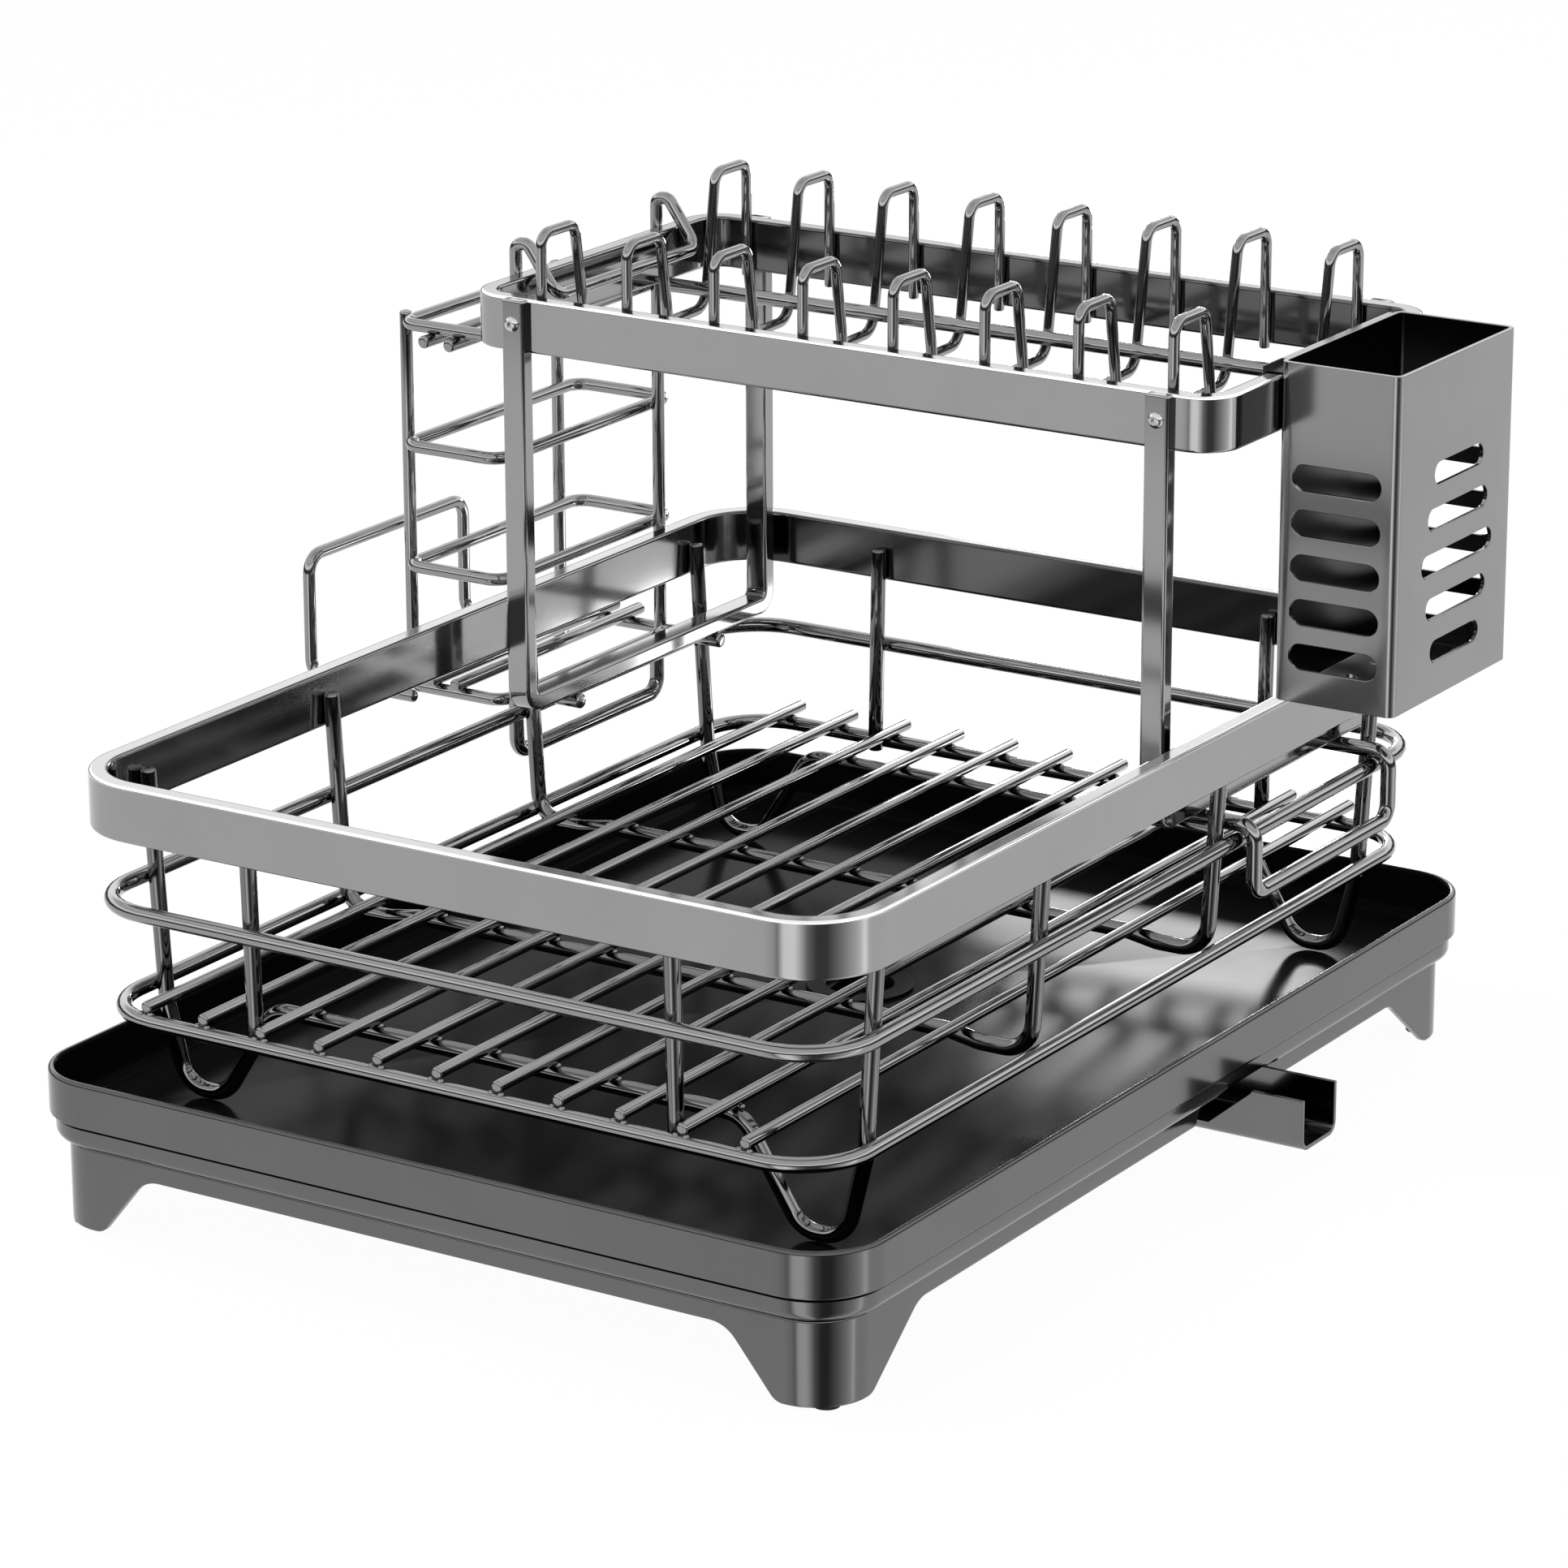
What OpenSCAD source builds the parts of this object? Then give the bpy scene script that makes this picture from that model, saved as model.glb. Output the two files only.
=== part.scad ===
// Two-tier countertop dish rack on a drip tray with a swivel spout.
// A bent-wire basket stands in the tray. A plate tier stands inside the basket on two
// flat-bar legs, and a utensil holder and a wire cup holder hang from the tier's band.
// X runs along the short side, Y from front to back, Z up from the counter.

/* [Basket] */
// Length of the basket along X, over its rim band
basket_x = 301; // [290:1:320]
// Depth of the basket along Y, over its rim band
basket_y = 403.4; // [390:0.2:425]
// Height of the basket's top edge above the counter
basket_h = 155.1; // [152:0.1:165]
// Height of the rim band's flat bar
rim_h = 19.2; // [15:0.1:22]
// Thickness of the flat bars of both bands
band_t = 6.5; // [5.5:0.1:8]
// Outer radius of the rim band's corners
rim_corner_r = 27.8; // [22:0.1:34]
// Height of the middle ring's centre above the counter
mid_ring_z = 110.7; // [104:0.1:116]
// Height of the bottom ring's centre above the counter
bottom_ring_z = 73.5; // [70:0.1:80]
// How far the bottom ring lies inside the rim band's outer face along X
ring_inset_x = 5.7; // [4:0.1:8]
// How far the bottom ring lies inside the rim band's outer face along Y
ring_inset_y = 3.3; // [2.5:0.1:6]

/* [Basket wires] */
// Diameter of the uprights, the feet and the middle ring
frame_wire_d = 5.5; // [4.5:0.1:6.5]
// Diameter of the bottom ring
bottom_wire_d = 5.2; // [4.4:0.1:6]
// Diameter of the floor wires
floor_wire_d = 4.2; // [3.2:0.1:5]
// Number of floor wires
floor_wires = 11; // [7:1:11]
// Distance between floor wires
floor_pitch = 23.3; // [18:0.1:24]
// How far the row of floor wires lies off the middle
floor_shift = -4; // [-5:0.1:5]
// How far the floor wires reach past the bottom ring at the rear
floor_overhang = 9; // [0:0.5:12]
// Distance from the middle to the front and rear foot wires
foot_wire_y = 164; // [150:0.5:168]
// Place of the front cross wire along Y
front_cross_y = -63; // [-90:0.5:-30]
// Place of the rear cross wire along Y
rear_cross_y = 54; // [40:0.5:54]
// Place of the left front and rear uprights along X
left_upright_x = -79.2; // [-95:0.1:-60]
// Place of the right front and rear uprights along X
right_upright_x = 84; // [60:0.1:95]
// How deep the uprights end below the rim band's top edge
upright_drop = 7; // [4:0.1:10]
// Width of a wire foot at its base, over the bends' corner points
foot_base = 16.5; // [15:0.1:22]
// Place of a foot's outer corner point from the middle
foot_corner_x = 129.5; // [120:0.1:134]
// How far a foot's inner leg runs in along X as it rises
foot_run = 21.5; // [16:0.1:28]
// Centre-line bend radius of the feet
foot_bend_r = 11; // [8:0.1:11]
// How far the cross wires' heels dip below their run
heel_dip = 2; // [1:0.1:3]
// Length of a heel along X
heel_run = 19; // [15:0.1:24]
// Length over which a cross wire rises from its heel
heel_ramp = 12; // [8:0.1:16]

/* [Drip tray] */
// How far the tray's rim reaches past the basket along X, each side
tray_margin_x = 9.5; // [8:0.1:14]
// How far the tray's rim reaches past the basket along Y, each side
tray_margin_y = 13.3; // [10:0.1:18]
// Height of the tray's rim above the counter
tray_h = 55; // [52:0.5:60]
// Outer radius of the tray's corners
tray_corner_r = 25; // [20:0.5:32]
// Thickness of the tray's walls
tray_wall = 2.2; // [1.8:0.1:3]
// Height of the floor's edge inside the tray
tray_floor_z = 37; // [36.5:0.1:39]
// How far the floor falls from its edge to the drain
floor_fall = 3.5; // [2:0.1:4]
// Height of the fine step in the tray's outer wall
tray_step_z = 39.3; // [38:0.1:42]
// How far the outer wall steps in there
tray_step = 2; // [1:0.1:2.4]
// Height of the skirt that carries the tray
skirt_h = 29.7; // [29:0.1:31]
// How far the skirt lies inside the tray's rim
skirt_inset = 6.4; // [5:0.1:8]
// Thickness of the skirt's walls
skirt_wall = 2.6; // [2:0.1:3.2]
// Gap between the counter and the skirt's lower edge, between its feet
skirt_gap = 23.1; // [20:0.1:24]
// Flat length of a skirt foot from the corner, along X
foot_flat_x = 22; // [16:0.5:30]
// Flat length of a skirt foot from the corner, along Y
foot_flat_y = 21.5; // [16:0.5:30]
// Length over which the skirt rises beside a foot, along X
foot_slope_x = 18.3; // [12:0.1:24]
// Length over which the skirt rises beside a foot, along Y
foot_slope_y = 27.8; // [12:0.1:32]
// Width of the ledge inside the skirt that the tray is screwed down on
ledge_w = 7; // [5:0.5:10]
// Thickness of that ledge
ledge_t = 2.4; // [2:0.1:3]
// Thickness of the rubber pads under the skirt's feet
pad_t = 1; // [0.8:0.1:2]
// Diameter of the rubber pads
pad_d = 9; // [7:0.1:10]
// Distance from the skirt's outer face to a pad's edge
pad_edge = 0.3; // [0.1:0.1:1]

/* [Drain and spout] */
// Place of the drain and the spout's pivot along Y
drain_y = 52.4; // [45:0.1:60]
// Bore of the drain
drain_d = 24; // [18:0.1:26]
// Wall of the drain collar's sleeve
collar_wall = 2; // [1.6:0.1:3]
// Width of the collar's flange on the tray's floor, past its sleeve
flange_w = 5; // [3:0.1:8]
// Thickness of the collar's flange and of its bottom lip
flange_t = 1.5; // [1:0.1:2]
// Width of the snap lip that holds the spout up on the collar
snap_lip = 1.4; // [1:0.1:2]
// Outer width of the spout's trough
spout_w = 24.4; // [20:0.1:26]
// Height of the trough's bottom above the counter
spout_z = 12; // [9:0.1:14]
// Height of the trough's top edge above the counter
spout_top_z = 30.5; // [29:0.1:30.5]
// Wall of the spout
spout_wall = 1.5; // [1.2:0.1:2]
// Outer radius along the trough's lower edges
spout_corner_r = 4.5; // [3:0.1:6]
// How far the trough reaches past the skirt's outer face
spout_reach = 28.4; // [20:0.1:32]
// How far past the skirt's face the near wall is back at full height
notch_reach = 8.4; // [7:0.1:12]
// Length over which the near wall rises to full height
notch_slope = 15.8; // [12:0.1:18]
// Height of the near wall where it is cut low
notch_low = 4.3; // [3.5:0.1:6]
// Width of the arch in the skirt that the spout swings in
arch_w = 50; // [46:0.5:54]
// Place of the arch's middle along Y
arch_y = 43; // [41:0.1:45]
// Height of the arch's top above the counter
arch_top_z = 33.2; // [33:0.1:34]

/* [Upper tier] */
// Rise of the tier's top edge above the basket's top edge
tier_rise = 114; // [108:0.5:140]
// Height of the tier band's flat bar
tier_band_h = 19; // [15:0.1:22]
// Place of the tier band's front face along Y
tier_front_y = 32; // [26:0.5:38]
// Depth of the tier along Y, over its band
tier_y = 155; // [150:0.5:160]
// Outer radius of the tier band's corners
tier_corner_r = 14.5; // [12:0.1:20]
// Width of the legs' flat bar
leg_w = 9; // [7:0.1:12]
// Thickness of the legs' flat bar
leg_t = 6; // [5:0.1:7]
// How far the legs lie inside the band's outer face along X
leg_inset = 18; // [16:0.1:24]
// How far the legs stand proud of the band, front and back
leg_proud = 3.1; // [2:0.1:4]
// Outer bend radius of the legs
leg_bend_r = 8.5; // [7.5:0.1:14]
// Diameter of the leg screws' heads
screw_head_d = 5.7; // [4.5:0.1:7]
// Height of the leg screws' heads
screw_head_h = 1.7; // [1.2:0.1:2.4]
// Diameter of the leg screws
screw_d = 3; // [2.5:0.1:4]
// How deep the leg screws reach into the band
screw_grip = 4.5; // [3:0.1:5]
// Diameter of the hanger loops
loop_wire_d = 5.5; // [4.5:0.1:6.5]
// Free gap between the hanger loops and the middle ring's side
loop_gap = 1; // [0.6:0.1:2]
// Place of the loops' front wires along Y
loop_front_y = 60.3; // [58:0.1:62]
// Place of the right loop's rear wire along Y
right_loop_rear_y = 158; // [140:0.5:158]
// Place of the left loop's rear wire along Y
left_loop_rear_y = 151.6; // [140:0.5:151.6]
// How far the loops hang below their top wires
loop_drop = 24; // [18:0.5:30]
// Centre-line bend radius of the loops and the plate wires
loop_bend_r = 6; // [5:0.1:7]

/* [Plate wires] */
// Diameter of the plate wires
plate_wire_d = 3.8; // [3:0.1:4.4]
// Number of plate wires
plate_wires = 8; // [4:1:8]
// Distance between plate wires
plate_pitch = 35.9; // [30:0.1:36]
// How far a plate wire slants along X from its front loop to its rear loop
plate_skew = 4.6; // [0:0.1:5]
// Rise of the plate wires above the tier band's top edge
plate_rise = 23.6; // [16:0.1:40]
// How far the plate wires' floor run lies below the band's lower edge
plate_drop = 7.8; // [6:0.1:12]
// Half distance between the loops' inner legs at the top
plate_top_half = 48.6; // [47:0.1:52]
// Half distance between the loops' inner legs at the floor run
plate_low_half = 41.2; // [39:0.1:44]
// Centre-line bend radius at the top of the loops
plate_top_r = 5; // [4:0.1:6]
// Centre-line bend radius at the floor of the loops
plate_low_r = 8; // [6:0.1:9]
// Diameter of the two wires that carry the plate wires
support_wire_d = 5.2; // [4:0.1:6]
// How far the support wires' centres lie below the band's lower edge
support_drop = 0.4; // [0:0.1:1]

/* [Utensil holder] */
// Width of the utensil holder along X
holder_x = 44.7; // [36:0.1:56]
// Length of the utensil holder along Y
holder_y = 84.9; // [80:0.1:96]
// Height of the utensil holder
holder_h = 116.3; // [100:0.1:118]
// Place of the holder's middle along Y
holder_mid_y = 113.8; // [108:0.1:118]
// How far the holder's rim stands above the tier band
holder_rise = 5.5; // [4:0.1:8]
// Thickness of the holder's walls
holder_wall = 1.6; // [1.4:0.1:2.4]
// Radius of the holder's upright edges
holder_edge_r = 3; // [2.6:0.1:4]
// Number of slots in each face
slot_rows = 5; // [3:1:5]
// Distance between slots
slot_pitch = 15.4; // [13:0.1:16]
// Height of the middle slot above the holder's floor
slot_mid_z = 46.9; // [42:0.1:50]
// Height of the slots in the front and rear faces
face_slot_h = 9; // [6:0.1:10]
// Length of the slots in the front and rear faces
face_slot_l = 33; // [24:0.1:34]
// Height of the slots in the right face
side_slot_h = 7.6; // [5:0.1:9]
// Length of the middle slot in the right face
side_slot_l = 51.6; // [40:0.1:56]
// How much shorter the slots get, row by row, away from the middle one
side_slot_step = 8; // [4:0.1:10]
// Diameter of the drain holes in the holder's floor
weep_d = 6; // [5:0.1:8]
// How deep the holder's hook reaches down inside the band
hook_reach = 11; // [8:0.1:14]
// Thickness of the holder's hook
hook_t = 1.5; // [1.2:0.1:2]

/* [Side holder] */
// Diameter of the side holder's wires
cage_wire_d = 4.6; // [3.8:0.1:5]
// Width of the cage's rings along X, over their centre lines
cage_x = 41.55; // [34:0.05:50]
// Front end of the cage's rings along Y, on their centre line
cage_front_y = 61.5; // [56:0.5:62]
// Length of the cage's rings along Y, over their centre lines
cage_y = 109.5; // [100:0.5:116]
// Centre-line radius of the rings' corners
cage_corner_r = 6.5; // [5:0.1:9]
// Height of the top ring's centre below the tier's top edge
cage_top_drop = 23.6; // [22:0.1:30]
// Distance between rings, one above another
cage_ring_pitch = 45; // [38:0.1:45]
// Place of the hook frame's front wire along Y
hook_front_y = 67.6; // [67:0.1:72]
// Place of the hook frame's rear wire along Y
hook_rear_y = 157.2; // [157:0.1:159]
// Rise of the hook frame's top above the tier band
hook_rise = 10; // [9:0.1:13]
// How far the hook's inner bar lies below the tier band's top
hook_bar_drop = 7; // [5:0.1:7.5]
// How far the hook's top reaches in over the band from its uprights
hook_span = 5.4; // [5:0.1:7]
// Free gap along X between the hook's inner bar and the band
hook_play = 6; // [5.5:0.1:8]
// Centre-line bend radius of the hooks' tops
hook_top_r = 3.1; // [2.6:0.1:3.2]
// Centre-line bend radius of the hooks' inner corners
hook_bar_r = 5; // [3:0.1:5]
// Place of the cage's outer front upright along Y
outer_front_y = 70; // [68:0.5:76]
// Place of the cage's outer rear upright along Y
outer_rear_y = 165; // [150:0.5:165]
// Length of the cage's long bars along Y
bar_y = 121; // [115:0.5:126]
// Distance of the outer long bars from the cage's outer side
outer_bar_x = 13; // [10:0.1:16]
// Distance between the two long bars
bar_gap = 11; // [8:0.1:14]
// How far the cup rail stands out past the cage's outer side
rail_reach = 44.8; // [30:0.1:52]
// Place of the cup rail's front wire along Y
rail_front_y = 61.5; // [58:0.5:66]
// Distance between the cup rail's two wires
rail_y = 97.5; // [90:0.5:104]
// Rise of the cup rail above its feet
rail_h = 46; // [36:0.5:60]
// Centre-line bend radius of the cup rail
rail_bend_r = 7; // [5:0.1:9]

/* [Fits] */
// Free gap between pieces that lift off each other
lift_gap = 0.3; // [0.3:0.05:0.6]
// How deep welded wires melt into each other
weld_bite = 0.15; // [0.1:0.05:0.3]
// Rounding of the flat bars' edges
bar_edge_r = 1; // [0.6:0.1:1.5]

/* [Hidden] */
$fn = 64;
cut = 1;  // How far a cutting shape runs past a face
bend_swell = 0.02;
bend_lap = 0.05;

// Basket
rim_x = basket_x / 2;
rim_y = basket_y / 2;
upright_top_z = basket_h - upright_drop;
bottom_ring_x = rim_x - ring_inset_x - bottom_wire_d / 2;
bottom_ring_y = rim_y - ring_inset_y - bottom_wire_d / 2;
ring_touch = (frame_wire_d + bottom_wire_d) / 2 - weld_bite;
band_touch = band_t + frame_wire_d / 2 - weld_bite;
// The uprights lean from the rim band's inner face to the bottom ring's inner side
function lean(top, low, z) = low + (top - low) * (z - bottom_ring_z) / (upright_top_z - bottom_ring_z);
function upright_x(z) = lean(rim_x - band_touch, bottom_ring_x - ring_touch, z);
function upright_y(z) = lean(rim_y - band_touch, bottom_ring_y - ring_touch, z);
mid_ring_x = upright_x(mid_ring_z) + frame_wire_d - weld_bite;
mid_ring_y = upright_y(mid_ring_z) + frame_wire_d - weld_bite;
ring_corner_r = rim_corner_r - band_t / 2;
floor_wire_z = bottom_ring_z + (bottom_wire_d + floor_wire_d) / 2 - weld_bite;
run_z = floor_wire_z - (floor_wire_d + frame_wire_d) / 2 + weld_bite;
function floor_wire_x(i) = floor_shift + (i - (floor_wires + 1) / 2) * floor_pitch;

// Drip tray
tray_x = rim_x + tray_margin_x;
tray_y = rim_y + tray_margin_y;
skirt_x = tray_x - skirt_inset;
skirt_y = tray_y - skirt_inset;
skirt_corner_r = tray_corner_r - skirt_inset;
// A pad's centre lies on the corner's diagonal, with the wall's foot over the pad's outer part
pad_corner = skirt_corner_r - (skirt_corner_r - pad_edge - pad_d / 2) / sqrt(2);
floor_x = tray_x - tray_wall;
floor_y = tray_y - tray_wall;
drain_z = tray_floor_z - floor_fall;
foot_toe_r = 6;
window_r = 12;
taper_h = 6;
taper_rows = 6;
step_ease = 0.5;
floor_fillet_r = 5;
// Height of the sloping floor at a place: four flat facets meet at the drain
function floor_z(x, y) = drain_z + floor_fall * max(abs(x) / floor_x,
  y > drain_y ? (y - drain_y) / (floor_y - drain_y) : (drain_y - y) / (floor_y + drain_y));
foot_z = floor_z(foot_corner_x, -foot_wire_y) + lift_gap + frame_wire_d / 2;

// Drain and spout
sleeve_d = drain_d + 2 * collar_wall;
flange_d = sleeve_d + 2 * flange_w;
seat_gap = 0.2;
cup_gap = 1;
notch_run = 40;
notch_back = 12;
arch_shoulder = 12;
arch_ease = 2;
hub_d = sleeve_d + 2 * lift_gap;
hub_top_z = drain_z - tray_wall - lift_gap;
hub_t = 2.4;
hub_low_z = hub_top_z - hub_t;
snap_z = hub_low_z - lift_gap;
cup_d = sleeve_d + 2 * (snap_lip + cup_gap + spout_wall);
spout_end_x = skirt_x + spout_reach;

// Upper tier
tier_top = basket_h + tier_rise;
tier_low = tier_top - tier_band_h;
tier_back_y = tier_front_y + tier_y;
tier_mid_y = tier_front_y + tier_y / 2;
tier_inner_x = rim_x - band_t;
loop_z = mid_ring_z + frame_wire_d / 2 + lift_gap + loop_wire_d / 2;
loop_x = mid_ring_x + frame_wire_d / 2 + loop_gap + loop_wire_d / 2;
leg_x = rim_x - leg_inset - leg_w / 2;
leg_low_z = loop_z + loop_wire_d / 2 - weld_bite;
screw_z = tier_low + tier_band_h * 0.55;
loop_end = 1.5;

// Plate wires
plate_end_drop = 1.4;
plate_shift = 0.2;
plate_top_z = tier_top + plate_rise - plate_wire_d / 2;
plate_low_z = tier_low - plate_drop;
plate_end_z = tier_low - plate_end_drop;
plate_outer_half = tier_y / 2 - band_t - plate_wire_d / 2 + weld_bite;
support_z = tier_low - support_drop;
plate_lean = (plate_top_half - plate_low_half) / (plate_top_z - plate_low_z);
support_half = plate_low_half + plate_lean * (support_z - plate_low_z)
  - ((plate_wire_d + support_wire_d) / 2 - weld_bite) * sqrt(1 + plate_lean * plate_lean);
function plate_wire_x(i) = (i - (plate_wires + 1) / 2) * plate_pitch + plate_shift;

// Utensil holder
holder_left = rim_x + lift_gap;
holder_top = tier_top + holder_rise;
holder_low = holder_top - holder_h;
holder_front = holder_mid_y - holder_y / 2;
face_slot_shift = -0.5;
side_slot_shift = 2;

// Side holder
hook_x = -(rim_x + lift_gap + cage_wire_d / 2);
cage_right = hook_x - cage_wire_d + weld_bite;
cage_left = cage_right - cage_x;
cage_top_z = tier_top - cage_top_drop;
cage_rows = 4;
shelf_z = cage_top_z - (cage_rows - 1) * cage_ring_pitch;
outer_x = cage_left - cage_wire_d + weld_bite;
rail_x = cage_left - rail_reach;
rail_z = shelf_z - cage_wire_d + weld_bite;

// The origin stands under the middle of the whole rack
frame_x = (holder_left + holder_x + rail_x - cage_wire_d / 2) / 2;

function unit(v) = v / norm(v);
function turn(a, b, c) = acos(max(-1, min(1, unit(b - a) * unit(c - b))));
function side_of(w) = abs(w.z) > 0.9 ? [0, 1, 0] : [0, 0, 1];

// One quarter-round or shallower bend of the section drawn by the children
module bend_at(a, b, c, r) {
  u = unit(b - a);
  n = unit(cross(u, unit(c - b)));
  inward = cross(n, u);
  o = b - u * r * tan(turn(a, b, c) / 2) + inward * r;
  multmatrix([[-inward.x, u.x, n.x, o.x], [-inward.y, u.y, n.y, o.y], [-inward.z, u.z, n.z, o.z]])
    rotate_extrude(angle = turn(a, b, c)) translate([r, 0]) children();
}

// A straight stretch from a to b of the section drawn by the children
module stretch(a, b) {
  w = unit(b - a);
  v = unit(side_of(w) - w * (side_of(w) * w));
  s = cross(w, v);
  multmatrix([[s.x, v.x, -w.x, b.x], [s.y, v.y, -w.y, b.y], [s.z, v.z, -w.z, b.z]])
    linear_extrude(norm(b - a)) children();
}

// A bar bent through the points on one radius, or one radius a corner, open or closed.
// The last child is the section in the bends, the first one the section between them
module bent_bar(points, r, closed = false, lap = 0) {
  n = len(points);
  function at(i) = points[(i + n) % n];
  function radius(i) = is_list(r) ? r[(i + n) % n] : r;
  function bends(i) = closed || ((i + n) % n > 0 && (i + n) % n < n - 1);
  function trim(i) = bends(i) ? radius(i) * tan(turn(at(i - 1), at(i), at(i + 1)) / 2) - lap : 0;
  for (i = [0:closed ? n - 1 : n - 2]) {
    w = unit(at(i + 1) - at(i));
    stretch(at(i) + w * trim(i), at(i + 1) - w * trim(i + 1)) children(0);
  }
  for (i = [closed ? 0 : 1:closed ? n - 1 : n - 2])
    bend_at(at(i - 1), at(i), at(i + 1), radius(i)) children($children - 1);
}

// Round wire; a bend is a hair thicker than the straight wire that runs into it
module wire(points, d, r = 1, closed = false) {
  bent_bar(points, r, closed, bend_lap) {
    circle(d = d);
    circle(d = d + bend_swell);
  }
}

// The corner points of a level rectangle
function corners(x0, x1, y0, y1, z) = [[x0, y0, z], [x1, y0, z], [x1, y1, z], [x0, y1, z]];

module ring(x, y, z, d, r) {
  wire(corners(-x, x, -y, y, z), d, r, true);
}

module round_rect(x, y, r) {
  square([x - 2 * r, y], center = true);
  square([x, y - 2 * r], center = true);
  for (sx = [-1, 1], sy = [-1, 1])
    translate([sx * (x / 2 - r), sy * (y / 2 - r)]) circle(r);
}

// A level band of flat bar round a rectangle; its section lies across the path
module band(x0, x1, y0, y1, z, h, r) {
  t = band_t / 2;
  bent_bar(corners(x0 + t, x1 - t, y0 + t, y1 - t, z - h / 2), r - t, true)
    round_rect(band_t, h, bar_edge_r);
}

module place() {
  translate([-frame_x, 0, 0]) children();
}

module slab(x, y, r, z0, z1) {
  translate([0, 0, z0]) linear_extrude(z1 - z0) round_rect(2 * x, 2 * y, r);
}

// The tray's sloping floor: an upside-down pyramid whose point lies at the drain
module floor_hollow() {
  x = floor_x - floor_fillet_r;
  y = floor_y - floor_fillet_r;
  polyhedron(
    points = [[-x, -y, tray_floor_z], [x, -y, tray_floor_z], [x, y, tray_floor_z], [-x, y, tray_floor_z],
              [0, drain_y, drain_z]],
    faces = [[3, 2, 1, 0], [0, 1, 4], [1, 2, 4], [2, 3, 4], [3, 0, 4]]);
}

// The hollow below the floor keeps the floor one wall thick, slopes and all
module floor_underside() {
  edge = skirt_wall + ledge_w;
  difference() {
    slab(skirt_x - edge, skirt_y - edge, skirt_corner_r, skirt_h - cut, tray_floor_z - tray_wall);
    translate([0, 0, -tray_wall]) floor_hollow();
  }
}

// Section of the tray's wall: how far it lies inside the rim's outer face, and its height
function wall_section() = let (
  reach = skirt_inset - tray_step,
  lip_r = tray_wall / 2,
  foot = tray_wall + floor_fillet_r)
  concat(
    [[-skirt_inset - skirt_wall - ledge_w, skirt_h]],
    [for (i = [0:taper_rows]) [-tray_step - reach * (1 - sin(90 * i / taper_rows)),
                               skirt_h + taper_h * i / taper_rows]],
    [[-tray_step, tray_step_z], [-step_ease, tray_step_z], [0, tray_step_z + step_ease]],
    arc_points([-lip_r, tray_h - lip_r], lip_r, 0, 180),
    arc_points([-foot, tray_floor_z + floor_fillet_r], floor_fillet_r, 0, -90),
    [[-skirt_inset - skirt_wall - ledge_w, tray_floor_z]]);

function arc_points(centre, r, from, to, steps = 6) =
  [for (i = [0:steps]) let (a = from + (to - from) * i / steps) centre + r * [cos(a), sin(a)]];

module basin_shape() {
  inside = skirt_inset + skirt_wall + ledge_w - 0.5;
  bent_bar(corners(-tray_x, tray_x, -tray_y, tray_y, 0), tray_corner_r, true) polygon(wall_section());
  slab(tray_x - inside, tray_y - inside, tray_corner_r - inside, skirt_h, tray_floor_z);
}

module arch(x0, x1) {
  low = skirt_gap - cut;
  translate([x0, 0, 0]) rotate([90, 0, 90]) linear_extrude(x1 - x0)
    polygon([[arch_y - arch_w / 2, low], [arch_y + arch_w / 2, low],
             [arch_y + arch_w / 2, arch_top_z],
             [arch_y - arch_w / 2 + arch_shoulder, arch_top_z],
             [arch_y - arch_w / 2 + arch_ease, skirt_h - arch_ease], [arch_y - arch_w / 2, skirt_gap]]);
}

module tray_basin() {
  color("dimgray") difference() {
    basin_shape();
    floor_hollow();
    floor_underside();
    translate([0, drain_y, skirt_h]) cylinder(h = tray_floor_z - skirt_h, d = sleeve_d + seat_gap);
    translate([0, drain_y, drain_z]) cylinder(h = floor_fall, d = flange_d + seat_gap);
    arch(skirt_x - skirt_wall - ledge_w - cut, tray_x + cut);
  }
}

// A polygon's corner eased by an arc, as points on the way from a over b to c
function eased(a, b, c, r, steps = 5) = let (
  u = unit(a - b),
  v = unit(c - b),
  half = acos(u * v) / 2,
  o = b + unit(u + v) * r / sin(half),
  p = b + u * r / tan(half),
  q = b + v * r / tan(half),
  mid = o + unit(b - o) * r)
  [for (i = [0:steps]) let (t = i / steps, m = (1 - t) * (1 - t) * p + 2 * t * (1 - t) * (2 * mid - (p + q) / 2)
    + t * t * q) o + unit(m - o) * r];

// The window between two feet, cut through the skirt's walls along Y
module foot_window(half, flat, slope, depth) {
  low = half - flat;
  top = low - slope;
  right = concat([[low, -cut]], eased([low + 9, pad_t], [low, pad_t], [top, skirt_gap], foot_toe_r),
                 eased([low, pad_t], [top, skirt_gap], [0, skirt_gap], window_r));
  left = [for (i = [len(right) - 1:-1:0]) [-right[i].x, right[i].y]];
  rotate([90, 0, 0]) linear_extrude(depth, center = true) polygon(concat(right, left));
}

module tray_skirt() {
  inner_x = skirt_x - skirt_wall;
  inner_y = skirt_y - skirt_wall;
  color("dimgray") difference() {
    slab(skirt_x, skirt_y, skirt_corner_r, pad_t, skirt_h);
    slab(inner_x, inner_y, skirt_corner_r - skirt_wall, pad_t - cut, skirt_h - ledge_t);
    slab(inner_x - ledge_w, inner_y - ledge_w, skirt_corner_r - skirt_wall, pad_t - cut, skirt_h + cut);
    foot_window(skirt_x, foot_flat_x, foot_slope_x, 2 * skirt_y + 2 * cut);
    rotate([0, 0, 90]) foot_window(skirt_y, foot_flat_y, foot_slope_y, 2 * skirt_x + 2 * cut);
    arch(skirt_x - skirt_wall - ledge_w - cut, skirt_x + cut);
  }
}

module foot_pads() {
  color("black") for (sx = [-1, 1], sy = [-1, 1])
    translate([sx * (skirt_x - pad_corner), sy * (skirt_y - pad_corner), 0])
      cylinder(h = pad_t, d = pad_d);
}

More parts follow.
